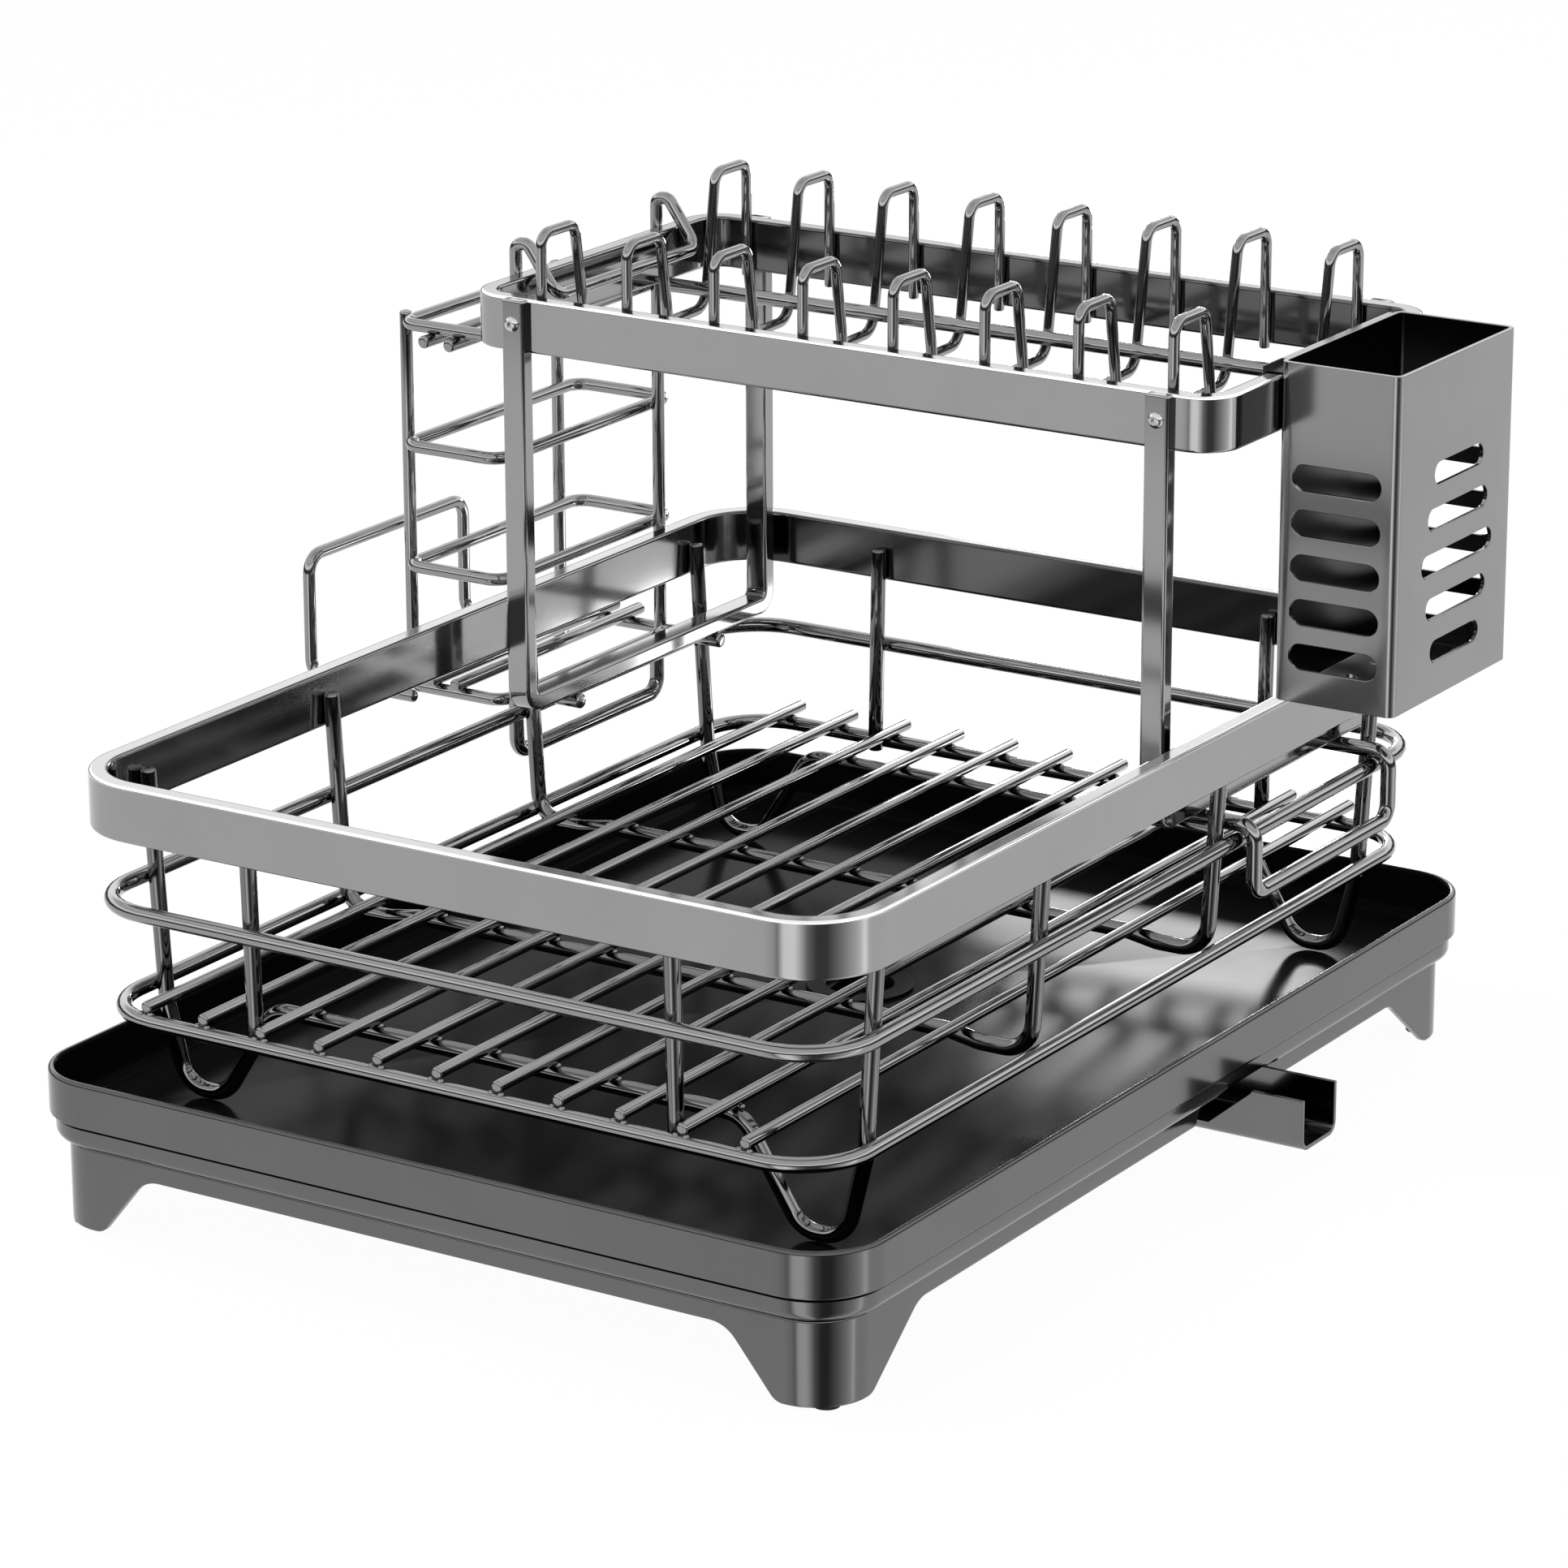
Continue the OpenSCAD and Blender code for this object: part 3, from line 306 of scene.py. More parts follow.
def sweep_bar(work, line, section, side, closed=False, ease=0.9, slots=None):
    """Add a bar that follows a line; slots gives each side's material."""
    size = max(abs(value) for point in section for value in point)
    stations = [(point, 1.0) for point in line] if closed else eased_ends(line, size, ease)
    count = len(stations)
    side = Vector(side)
    rings = []
    for i, (point, share) in enumerate(stations):
        last = i == count - 1 and not closed
        onward = point - stations[i - 1][0] if last else stations[(i + 1) % count][0] - point
        back = point - stations[i - 1][0] if closed or i else onward
        along = (back.normalized() + onward.normalized()).normalized()
        side = (side - along * side.dot(along)).normalized()
        up = along.cross(side)
        rings.append([work.verts.new(spot(point + (side * a + up * b) * share)) for a, b in section])
    for i in range(count if closed else count - 1):
        here, there = rings[i], rings[(i + 1) % count]
        for k in range(len(section)):
            face = work.faces.new((here[k - 1], here[k], there[k], there[k - 1]))
            face.material_index = slots[k] if slots else 0
    if not closed:
        work.faces.new(rings[0])
        work.faces.new(rings[-1])


def make(name, body, slot, materials, work, *nodes, angle=40):
    """Turn the work into a smooth piece that rides on a body and stands for CAD nodes."""
    bmesh.ops.recalc_face_normals(work, faces=work.faces)
    mesh = bpy.data.meshes.new(name)
    work.to_mesh(mesh)
    work.free()
    for material in materials if isinstance(materials, tuple) else (materials,):
        mesh.materials.append(material)
    mesh.shade_smooth()
    mesh.set_sharp_from_angle(angle=math.radians(angle))
    piece = bpy.data.objects.new(name, mesh)
    scene.collection.objects.link(piece)
    if body:
        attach(piece, body)
    if nodes:
        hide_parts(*nodes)
    return piece


# The second slot is painted shade on a band's inner side, the third a painted highlight on its outer top
# edge.
BAR, PAINTED_SHADE, PAINTED_HIGHLIGHT = 0, 1, 2  # a band's materials, in the order of its slots
LEANS = 0.15  # a face leans out, in or up when its normal passes this


def band_slots(section):
    """Materials round a band's section: painted shade on the inner side, a painted highlight on the
    outer top edge.
    """
    slots = []
    for (a0, b0), (a1, b1) in zip([section[-1]] + section, section):
        way = Vector((b1 - b0, a0 - a1)).normalized()
        outer_top = way.x > LEANS and way.y < -LEANS
        slots.append(PAINTED_SHADE if way.x < -LEANS else PAINTED_HIGHLIGHT if outer_top else BAR)
    return slots


def band_ring(work, line, section):
    """A closed band with painted shade on its inner side, except where it faces right and keeps the
    bar's own tone.
    """
    sweep_bar(work, line, section, side=(-1, 0, 0), closed=True, slots=band_slots(section))
    for face in work.faces:
        face.normal_update()
        on_left = face.calc_center_median().x < TRAY_X * MM
        faces_across = abs(face.normal.x) > 0.6
        if face.material_index == PAINTED_SHADE and on_left and faces_across:
            face.material_index = BAR


bar_steel = coat("coated bar", tone=0.32, rough=0.1, ripple=0.006)
# The bands' inner side gets a darker copy of the bar's coat as painted shade, and the eased outer top
# edge a near-white copy as a painted highlight.
bar_painted_shade = coat("painted shade on a bar's inner side", tone=0.125, rough=0.12, ripple=0.006)
bar_painted_highlight = coat("painted highlight on a bar's edge", tone=0.95, rough=0.15, ripple=0.006)
bar_coats = (bar_steel, bar_painted_shade, bar_painted_highlight)
BAND = 6.5  # thickness of both bands
BAND_X = 147.25  # both bands' centre lines, left and right
RIM_Y, RIM_Z, RIM_WIDE = 198.45, 145.5, 19.2
BASKET_BEND = 24.55
rim_line = bent(corners(-BAND_X, BAND_X, -RIM_Y, RIM_Y, RIM_Z), bend=BASKET_BEND, closed=True, steps=14)
work = bmesh.new()
band_ring(work, rim_line, strip(BAND, RIM_WIDE, edge=1))
make("rim_band", "basket", "coated_steel", bar_coats, work, "basket_rim_band")


# Basket rings.
# Two closed rings of coated wire run round the outside of the uprights, one above the
# other, and are welded to them.
def rod(diameter, sides=24):
    """Section of a wire."""
    turns = [math.tau * i / sides for i in range(sides)]
    return [(diameter / 2 * math.cos(turn), diameter / 2 * math.sin(turn)) for turn in turns]


wire_steel = coat("coated wire", tone=0.28, rough=0.06)


def wire(name, body, node, points, diameter, bend=0.0, closed=False, side=(0, 0, 1), steel=wire_steel):
    """One bent wire that stands for one node."""
    work = bmesh.new()
    sweep_bar(work, bent(points, bend, closed), rod(diameter), side, closed)
    return make(name, body, "coated_steel", steel, work, node)


BOTTOM_RING_Y = 195.8
wire("middle_ring", "basket", "basket_mid_ring",
     corners(-144.54, 144.54, -196.95, 196.95, 110.7), 5.5, bend=BASKET_BEND, closed=True)
wire("bottom_ring", "basket", "basket_bottom_ring",
     corners(-142.2, 142.2, -BOTTOM_RING_Y, BOTTOM_RING_Y, 73.5), 5.2, bend=BASKET_BEND, closed=True)


# Foot wires, cross wires and uprights.
# Each foot wire is one rod from rim to rim that dips to a foot at each end, and a cross
# wire dips to a low heel. Short uprights tie the rings to the rim. All carry painted shade:
# a darker copy of the wire's coat.
def both_sides(half):
    return half + [(-x, y, z) for x, y, z in reversed(half)]


UPRIGHT = 5.5  # diameter of all these rods
IN_RIM_X, IN_RIM_Z = 141.4, 148.1  # where a rod's end is welded inside the rim
# Painted shade: the same coated steel as the other wires, drawn darker.
rod_painted_shade = coat("wire coat with painted shade", tone=0.18, rough=0.06)
FOOT_Y, FOOT_Z = 164, 39.42
for name, node, y in (("front_foot_rod", "front_foot_wire", -FOOT_Y),
                      ("rear_foot_rod", "rear_foot_wire", FOOT_Y)):
    half = [(IN_RIM_X, y, IN_RIM_Z), (136.69, y, 68.3), (129.5, y, FOOT_Z), (113, y, FOOT_Z),
            (91.5, y, 73.35)]
    wire(name, "basket", node, both_sides(half), UPRIGHT, bend=11, side=(0, 1, 0),
         steel=rod_painted_shade)
CROSS_FRONT_Y, CROSS_REAR_Y = -63, 54
for name, node, y in (("front_cross_rod", "front_cross_wire", CROSS_FRONT_Y),
                      ("rear_cross_rod", "rear_cross_wire", CROSS_REAR_Y)):
    half = [(IN_RIM_X, y, IN_RIM_Z), (136.87, y, 71.35), (117.87, y, 71.35), (105.87, y, 73.35)]
    wire(name, "basket", node, both_sides(half), UPRIGHT, bend=11, side=(0, 1, 0),
         steel=rod_painted_shade)
for name, node, x, end in (("front_left_rod", "front_left_upright", -79.2, -1),
                           ("front_right_rod", "front_right_upright", 84, -1),
                           ("rear_left_rod", "rear_left_upright", -79.2, 1),
                           ("rear_right_rod", "rear_right_upright", 84, 1)):
    wire(name, "basket", node, [(x, end * 190.52, 70.9), (x, end * 192.6, IN_RIM_Z)], UPRIGHT,
         side=(1, 0, 0), steel=rod_painted_shade)


# Basket floor.
# Eleven straight rods of coated wire lie across the bottom ring and the foot wires, at one
# pitch, and are welded where they cross.
def copies_tree(name, inputs, set_out):
    """Geometry nodes that copy a pattern and coat the copies; set_out tells where they go."""
    tree = bpy.data.node_groups.new(name, "GeometryNodeTree")
    for label, kind in inputs:
        tree.interface.new_socket(label, in_out="INPUT", socket_type=kind)
    tree.interface.new_socket("Geometry", in_out="OUTPUT", socket_type="NodeSocketGeometry")
    given = tree.nodes.new("NodeGroupInput")
    copies = tree.nodes.new("GeometryNodeInstanceOnPoints")
    piece_info = tree.nodes.new("GeometryNodeObjectInfo")
    real = tree.nodes.new("GeometryNodeRealizeInstances")
    coated = tree.nodes.new("GeometryNodeSetMaterial")
    result = tree.nodes.new("NodeGroupOutput")
    links = [(given.outputs["Pattern"], piece_info.inputs["Object"]),
             (piece_info.outputs["Geometry"], copies.inputs["Instance"]),
             (copies.outputs["Instances"], real.inputs["Geometry"]),
             (real.outputs["Geometry"], coated.inputs["Geometry"]),
             (given.outputs["Coat"], coated.inputs["Material"]),
             (coated.outputs["Geometry"], result.inputs["Geometry"])]
    for source, target in set_out(tree, given, copies) + links:
        tree.links.new(source, target)
    return tree


def in_a_line(tree, given, copies):
    """Set the copies out along a line."""
    places = tree.nodes.new("GeometryNodeMeshLine")
    return [(given.outputs["Count"], places.inputs["Count"]),
            (given.outputs["Pitch"], places.inputs["Offset"]),
            (places.outputs["Mesh"], copies.inputs["Points"])]


def grown(name, body, slot, tree, host, inputs, *nodes, angle=40):
    """Run a node tree on a host mesh and keep the plain mesh it gives."""
    holder = bpy.data.objects.new(name + "_host", host)
    scene.collection.objects.link(holder)
    growth = holder.modifiers.new("growth", "NODES")
    growth.node_group = tree
    for item in tree.interface.items_tree:
        if item.in_out == "INPUT" and item.name in inputs:
            growth[item.identifier] = inputs[item.name]
    bpy.context.view_layer.update()
    grown_holder = holder.evaluated_get(bpy.context.evaluated_depsgraph_get())
    mesh = bpy.data.meshes.new_from_object(grown_holder)
    mesh.name = name
    bpy.data.objects.remove(holder)
    mesh.shade_smooth()
    mesh.set_sharp_from_angle(angle=math.radians(angle))
    piece = bpy.data.objects.new(name, mesh)
    scene.collection.objects.link(piece)
    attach(piece, body)
    if nodes:
        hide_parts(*nodes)


along_line = copies_tree("rods along a line",
                         (("Pattern", "NodeSocketObject"), ("Count", "NodeSocketInt"),
                          ("Pitch", "NodeSocketVector"), ("Coat", "NodeSocketMaterial")), in_a_line)
FLOOR_RODS, FLOOR_PITCH = 11, 23.3
FLOOR_MID_X, FLOOR_ROD_Z = -4, 78.05
first_floor_x = FLOOR_MID_X - (FLOOR_RODS - 1) / 2 * FLOOR_PITCH
floor_line = bent([(first_floor_x, -BOTTOM_RING_Y, FLOOR_ROD_Z), (first_floor_x, 204.8, FLOOR_ROD_Z)])
work = bmesh.new()
sweep_bar(work, floor_line, rod(4.2), side=(0, 0, 1))
pattern = make("floor_rod_pattern", None, None, wire_steel, work)
grown("floor_rods", "basket", "coated_steel", along_line, bpy.data.meshes.new("floor_rods_host"),
      {"Pattern": pattern, "Count": FLOOR_RODS, "Pitch": (FLOOR_PITCH * MM, 0, 0), "Coat": wire_steel},
      *(f"floor_wire_{i + 1}" for i in range(FLOOR_RODS)))
bpy.data.objects.remove(pattern)

# Tier band and legs.
# A second flat bar of the same steel makes the tier's frame. Each leg is a flat bar bent
# to a U whose ends are lapped over the band, front and back, and screwed to it.
TIER_TOP, TIER_WIDE = 269.1, 19
TIER_FRONT_Y, TIER_REAR_Y = 35.25, 183.75
LEG_X, LEG_TOP, LEG_LOW = 128, TIER_TOP - 0.1, 122.1
LEG_FRONT_Y, LEG_REAR_Y = 31.9, 187.1
tier_corners = corners(-BAND_X, BAND_X, TIER_FRONT_Y, TIER_REAR_Y, TIER_TOP - TIER_WIDE / 2)
work = bmesh.new()
tier_line = bent(tier_corners, bend=11.25, closed=True, steps=12)
band_ring(work, tier_line, strip(BAND, TIER_WIDE, edge=1))
make("plate_band", "tier", "coated_steel", bar_coats, work, "tier_band")
for name, x in (("left_leg", -LEG_X), ("right_leg", LEG_X)):
    leg_line = bent([(x, LEG_FRONT_Y, LEG_TOP), (x, LEG_FRONT_Y, LEG_LOW),
                     (x, LEG_REAR_Y, LEG_LOW), (x, LEG_REAR_Y, LEG_TOP)], bend=5.5)
    work = bmesh.new()
    sweep_bar(work, leg_line, strip(thick=6, wide=9, edge=1), side=(0, -1, 0), ease=0.8)
    make(name + "_bar", "tier", "coated_steel", bar_steel, work, name)


# Leg screws.
# Four bright steel screws hold the legs to the band. Each head is a low dome with a
# six-sided socket pressed into it.
def on_marks(tree, given, copies):
    """Stand a copy on each point, turned to face its way."""
    facing = tree.nodes.new("GeometryNodeInputNamedAttribute")
    facing.data_type = "FLOAT_VECTOR"
    facing.inputs["Name"].default_value = "facing"
    aligned = tree.nodes.new("FunctionNodeAlignRotationToVector")
    aligned.axis = "Z"
    return [(given.outputs["Geometry"], copies.inputs["Points"]),
            (facing.outputs["Attribute"], aligned.inputs["Vector"]),
            (aligned.outputs["Rotation"], copies.inputs["Rotation"])]


def facing_points(name, places):
    """A mesh of loose points, each with the way that it faces."""
    mesh = bpy.data.meshes.new(name)
    mesh.from_pydata([spot(place) for place, way in places], [], [])
    attribute = mesh.attributes.new("facing", "FLOAT_VECTOR", "POINT")
    for i, (place, way) in enumerate(places):
        attribute.data[i].vector = way
    return mesh


def turned_shape(work, profile, sides):
    """Add the skin of a shape turned on its axis, from (radius, height) points."""
    turns = [math.tau * i / sides for i in range(sides)]
    rings = [[work.verts.new((radius * MM * math.cos(turn), radius * MM * math.sin(turn), z * MM))
              for turn in turns] for radius, z in profile]
    for low, high in zip(rings, rings[1:]):
        for i in range(sides):
            work.faces.new((low[i - 1], low[i], high[i], high[i - 1]))
    return rings


bright_steel = coat("screw steel", tone=0.62, rough=0.22)
SCREW_SIDES = 24
SCREW_Z = 260.55
SOCKET = 0.95  # half the socket's width across its flats
DOME = [(2.85, -0.4), (2.85, 0.25), (2.76, 0.5), (2.5, 0.95), (2.1, 1.35), (1.68, 1.6), (1.4, 1.68)]
on_points = copies_tree("pieces on points",
                        (("Geometry", "NodeSocketGeometry"), ("Pattern", "NodeSocketObject"),
                         ("Coat", "NodeSocketMaterial")), on_marks)
work = bmesh.new()
head = turned_shape(work, DOME, SCREW_SIDES)
mouth, bottom = [], []
for i in range(SCREW_SIDES):
    turn = math.tau * i / SCREW_SIDES
    out = SOCKET / math.cos((turn + math.pi / 6) % (math.pi / 3) - math.pi / 6)
    for level, z in ((mouth, 1.62), (bottom, 0.6)):
        level.append(work.verts.new((out * math.cos(turn) * MM, out * math.sin(turn) * MM, z * MM)))
for low, high in ((head[-1], mouth), (mouth, bottom)):
    for i in range(SCREW_SIDES):
        work.faces.new((low[i - 1], low[i], high[i], high[i - 1]))
work.faces.new(bottom)
work.faces.new(head[0])
pattern = make("screw_pattern", None, None, bright_steel, work, angle=35)
screw_places = [((x, y, SCREW_Z), (0, way, 0)) for x in (-LEG_X, LEG_X)
                for y, way in ((28.9, -1), (190.1, 1))]
screw_points = facing_points("leg_screw_points", screw_places)
grown("leg_screw_heads", "tier", "screw_steel", on_points, screw_points,
      {"Pattern": pattern, "Coat": bright_steel}, "leg_screws", angle=35)
bpy.data.objects.remove(pattern)

# Hanger loops.
# Under each leg a wire runs out over the basket's middle ring, down, back and in again,
# so the tier can't slide off.
LOOP_FRONT_Y, LOOP_TOP, LOOP_LOW = 60.3, 116.5, 92.5
LOOP_IN_X, LOOP_OUT_X = 122, 151.04
for name, side, rear_y in (("left", -1, 151.6), ("right", 1, 158)):
    hook = [(side * LOOP_IN_X, LOOP_TOP), (side * LOOP_OUT_X, LOOP_TOP), (side * LOOP_OUT_X, LOOP_LOW)]
    loop_points = [(x, LOOP_FRONT_Y, z) for x, z in hook] + [(x, rear_y, z) for x, z in reversed(hook)]
    wire(name + "_loop", "tier", name + "_hanger_loop", loop_points, 5.5, bend=6, side=(0, 1, 0))

# Support wires.
# Two straight rods run from side to side under the band, are welded to it and carry the
# plate wires.
TIER_MID = (TIER_FRONT_Y + TIER_REAR_Y) / 2
SUPPORT_X, SUPPORT_Z = 144.1, 249.7
for name, way in (("front", -1), ("rear", 1)):
    y = TIER_MID + way * 37.93
    wire(name + "_support_rod", "tier", name + "_support_wire",
         [(-SUPPORT_X, y, SUPPORT_Z), (SUPPORT_X, y, SUPPORT_Z)], 5.2)

# Plate wires.
# Eight like wires stand the plates up. Each rises from the front of the band, turns over,
# dips to the floor of the tier and does the same at the back, a little askew.
PLATE_RODS, PLATE_PITCH = 8, 35.9
PLATE_MID_X = 0.2
ASKEW = 2.3
first_plate_x = PLATE_MID_X - (PLATE_RODS - 1) / 2 * PLATE_PITCH
half = [(69.25, 248.7), (69.25, 290.8), (48.6, 290.8), (41.2, 242.3)]
plate_points = [(first_plate_x + ASKEW, TIER_MID - out, z) for out, z in half]
plate_points += [(first_plate_x - ASKEW, TIER_MID + out, z) for out, z in reversed(half)]
work = bmesh.new()
sweep_bar(work, bent(plate_points, bend=(1, 5, 5, 8, 8, 5, 5, 1)), rod(3.8), side=(1, 0, 0))
pattern = make("plate_rod_pattern", None, None, wire_steel, work)
grown("plate_rods", "tier", "coated_steel", along_line, bpy.data.meshes.new("plate_rods_host"),
      {"Pattern": pattern, "Count": PLATE_RODS, "Pitch": (PLATE_PITCH * MM, 0, 0), "Coat": wire_steel},
      *(f"plate_wire_{i + 1}" for i in range(PLATE_RODS)))
bpy.data.objects.remove(pattern)

# Side holder.
# Four wire rings, one above the other, with uprights and long bars, hang from the tier's
# band on one bent wire with two hooks. The cup rail stands out at the far side.
CAGE = 4.6  # diameter of all its wires
CAGE_ROWS = (245.5, 200.5, 155.5, 110.5)
CAGE_END_Z = 108.2
for row, z in enumerate(CAGE_ROWS):
    node = f"cage_ring_{row + 1}" if row < 3 else "cage_shelf_ring"
    wire(f"holder_ring_{row + 1}", "side_holder", node, corners(-199.1, -157.55, 61.5, 171, z),
         CAGE, bend=6.5, closed=True)
HOOK_FRONT_Y, HOOK_REAR_Y = 67.6, 157.2
hook_half = [(-153.1, CAGE_END_Z), (-153.1, 279.1), (-147.7, 279.1), (-135.7, 262.1)]
hook_points = [(x, HOOK_FRONT_Y, z) for x, z in hook_half]
hook_points += [(x, HOOK_REAR_Y, z) for x, z in reversed(hook_half)]
wire("hook_rod", "side_holder", "cage_hook_frame", hook_points,
     CAGE, bend=(1, 3.1, 3.1, 5, 5, 3.1, 3.1, 1), side=(1, 0, 0))
OUTER_FRONT_Y, OUTER_REAR_Y = 70, 165
for name, node, y in (("front_outer_rod", "cage_front_upright", OUTER_FRONT_Y),
                      ("rear_outer_rod", "cage_rear_upright", OUTER_REAR_Y)):
    wire(name, "side_holder", node, [(-203.55, y, CAGE_END_Z), (-203.55, y, 247.8)],
         CAGE, side=(1, 0, 0))
for name, node, z in (("top_bars", "cage_top_bars", 241.05), ("shelf_bars", "cage_shelf_bars", 114.95)):
    work = bmesh.new()
    for x in (-186.1, -175.1):
        sweep_bar(work, bent([(x, 55.75, z), (x, 176.75, z)]), rod(CAGE), side=(0, 0, 1))
    make(name, "side_holder", "coated_steel", wire_steel, work, node)
rail_half = [(-196.8, 106.05), (-243.9, 106.05), (-243.9, 152.05)]
rail_points = [(x, 61.5, z) for x, z in rail_half] + [(x, 159, z) for x, z in reversed(rail_half)]
wire("cup_rail_rod", "side_holder", "cup_rail", rail_points, CAGE, bend=7, side=(0, 1, 0))


# Utensil holder.
# A box folded from thin sheet with slots punched through three faces, and a folded lip
# that drops over the tier's band. Its cut edges are eased, and its inside carries painted shade.
def eased_copy(name, node, body, slot, material, edge, angle=30):
    """A merged copy of a CAD node with rounded edges that stands in its place.

    Of two materials, the second goes on the walls' inner side."""
    work = bmesh.new()
    work.from_mesh(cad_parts[node].data)
    bmesh.ops.remove_doubles(work, verts=work.verts, dist=0.004 * MM)
    bmesh.ops.dissolve_limit(work, angle_limit=math.radians(1), verts=work.verts, edges=work.edges)
    if isinstance(material, tuple):
        low, high = (Vector(end(v.co[i] for v in work.verts) for i in range(3)) for end in (min, max))
        for face in work.faces:
            out = face.calc_center_median() - (low + high) / 2
            faces_in = out.dot(face.normal) < 0
            face.material_index = 1 if faces_in and abs(face.normal.z) < 0.5 else 0
    piece = make(name, body, slot, material, work, node, angle=angle)
    ease = piece.modifiers.new("eased edges", "BEVEL")
    ease.width = edge * MM
    ease.segments = 2
    ease.limit_method = "ANGLE"
    ease.angle_limit = math.radians(angle)
    ease.use_clamp_overlap = False
    ease.harden_normals = True


sheet_steel = coat("coated sheet", tone=0.28, rough=0.16)
# The walls' inner side gets a darker copy of the sheet's coat as painted shade.
box_coats_with_shade = (sheet_steel, coat("painted shade inside the sheet", tone=0.08, rough=0.2))
eased_copy("utensil_box", "holder_shell", "utensil_holder", "holder_steel", box_coats_with_shade, edge=0.3)
eased_copy("utensil_hook", "holder_hook", "utensil_holder", "holder_steel", sheet_steel, edge=0.25)

# Drip tray.
# Moulded in one piece with a dark satin gloss: a rolled rim, a fine step round the
# outside, and a floor of four flat facets that fall to the drain. Its inside, the grooves
# round its foot and the outer part of its lip are drawn in darker coats, as painted shade.
TRAY_X_HALF, TRAY_Y_HALF, TRAY_R = 160, 215, 25
FLOOR_X, FLOOR_Y = 152.8, 207.8
FLOOR_Z = 37
FLOOR_INSET = 7.5  # from the tray's outside to where its floor begins
DRAIN_Y, DRAIN_Z = 52.4, 33.5
SEAT_R, SLEEVE_R = 19.1, 14.1  # the sunk seat round the drain, and the hole in it
SHELL = 2.2  # thickness of the floor


def outline(half_x, half_y, radius, crease=None, steps=12):
    """Points on a rounded rectangle with the way each faces, counter-clockwise."""
    points = []
    for quarter, (sx, sy) in enumerate(((1, 1), (-1, 1), (-1, -1), (1, -1))):
        middle = Vector((sx * (half_x - radius), sy * (half_y - radius)))
        first = quarter * 90
        split = crease(sx, sy) if crease else first + 45
        angles = [first + (split - first) * step / (steps / 2) for step in range(steps // 2)]
        angles += [split + (first + 90 - split) * step / (steps / 2) for step in range(steps // 2 + 1)]
        for k, degrees in enumerate(angles):
            way = Vector((math.cos(math.radians(degrees)), math.sin(math.radians(degrees))))
            here = middle + way * radius
            if k == 0:
                points.append((here + Vector((way.y, -way.x)) * HOLD, way))
            points.append((here, way))
            if k == len(angles) - 1:
                points.append((here + Vector((-way.y, way.x)) * HOLD, way))
    return points


def loft(work, loops, closed=False, slots=None):
    """Join loops of places into a skin; slots gives each strip's material."""
    rings = [[work.verts.new(spot(place)) for place in loop] for loop in loops]
    pairs = list(zip(rings, rings[1:])) + ([(rings[-1], rings[0])] if closed else [])
    for i, (low, high) in enumerate(pairs):
        for k in range(len(low)):
            face = work.faces.new((low[k - 1], low[k], high[k], high[k - 1]))
            face.material_index = slots[i] if slots else 0


def floor_height(x, y):
    run = y - DRAIN_Y if y > DRAIN_Y else DRAIN_Y - y
    reach = FLOOR_Y - DRAIN_Y if y > DRAIN_Y else FLOOR_Y + DRAIN_Y
    return DRAIN_Z + (FLOOR_Z - DRAIN_Z) * max(abs(x) / FLOOR_X, run / reach)


def crease_angle(sx, sy):
    """Where the crease from the drain to a corner crosses that corner's arc, in degrees."""
    radius = TRAY_R - (TRAY_X_HALF - FLOOR_X)
    middle = Vector((sx * (TRAY_X_HALF - TRAY_R), sy * (TRAY_Y_HALF - TRAY_R)))
    start = Vector((0, DRAIN_Y)) - middle
    along = (Vector((sx * FLOOR_X, sy * FLOOR_Y)) - Vector((0, DRAIN_Y))).normalized()
    lean = start.dot(along)
    hit = start + along * (-lean + math.sqrt(lean * lean - start.length_squared + radius * radius))
    return math.degrees(math.atan2(hit.y, hit.x)) % 360


rim = outline(TRAY_X_HALF, TRAY_Y_HALF, TRAY_R, crease_angle)


def wall_loop(inset, z):
    return [(*(place - way * inset), z) for place, way in rim]


# The wall's section runs from the foot of the outside, over the rim, down to the floor.
# Each point also carries the material of the strip that starts there; all but WALL are painted shade.
WALL, INSIDE, GROOVE, LIP = range(4)
section = [(16.0, 29.7, GROOVE), (8.0, 29.7, GROOVE), (8.0, 30.5, GROOVE)]
for a in range(90, -1, -15):
    turn = math.radians(a)
    section.append((6.1 - 4.1 * math.cos(turn), 34 - 3.5 * math.sin(turn), GROOVE if a > 50 else WALL))
section += [(2, 37.8, GROOVE), (3.2, 38.1, GROOVE), (3.2, 39.3, GROOVE), (0.5, 39.3, WALL)]
for a in (30, 60, 90):
    turn = math.radians(a)
    section.append((0.5 * (1 - math.sin(turn)), 39.8 - 0.5 * math.cos(turn), WALL))
section += [(0, 40.1, WALL), (0, 53.4, WALL)]
for a in range(0, 181, 22):
    turn = math.radians(a)
    section.append((1.3 - 1.3 * math.cos(turn), 53.7 + 1.3 * math.sin(turn), LIP if a < 110 else INSIDE))
section += [(2.6, 53.3, INSIDE), (2.5, 42.4, INSIDE)]
for a in range(0, 91, 15):
    turn = math.radians(a)
    section.append((FLOOR_INSET - 5 * math.cos(turn), 42 - 5 * math.sin(turn), INSIDE))
loops = [wall_loop(inset, z) for inset, z, slot in section]
slots = [slot for inset, z, slot in section] + [INSIDE] * 5 + [GROOVE]
BESIDE = 1.2  # a loop this near the floor's edge keeps the floor flat
UNDER_INSET = 16.4


def on_floor(ray):
    """The place on the floor at the end of a ray from the drain's middle."""
    return (ray.x, ray.y + DRAIN_Y, floor_height(ray.x, ray.y + DRAIN_Y))


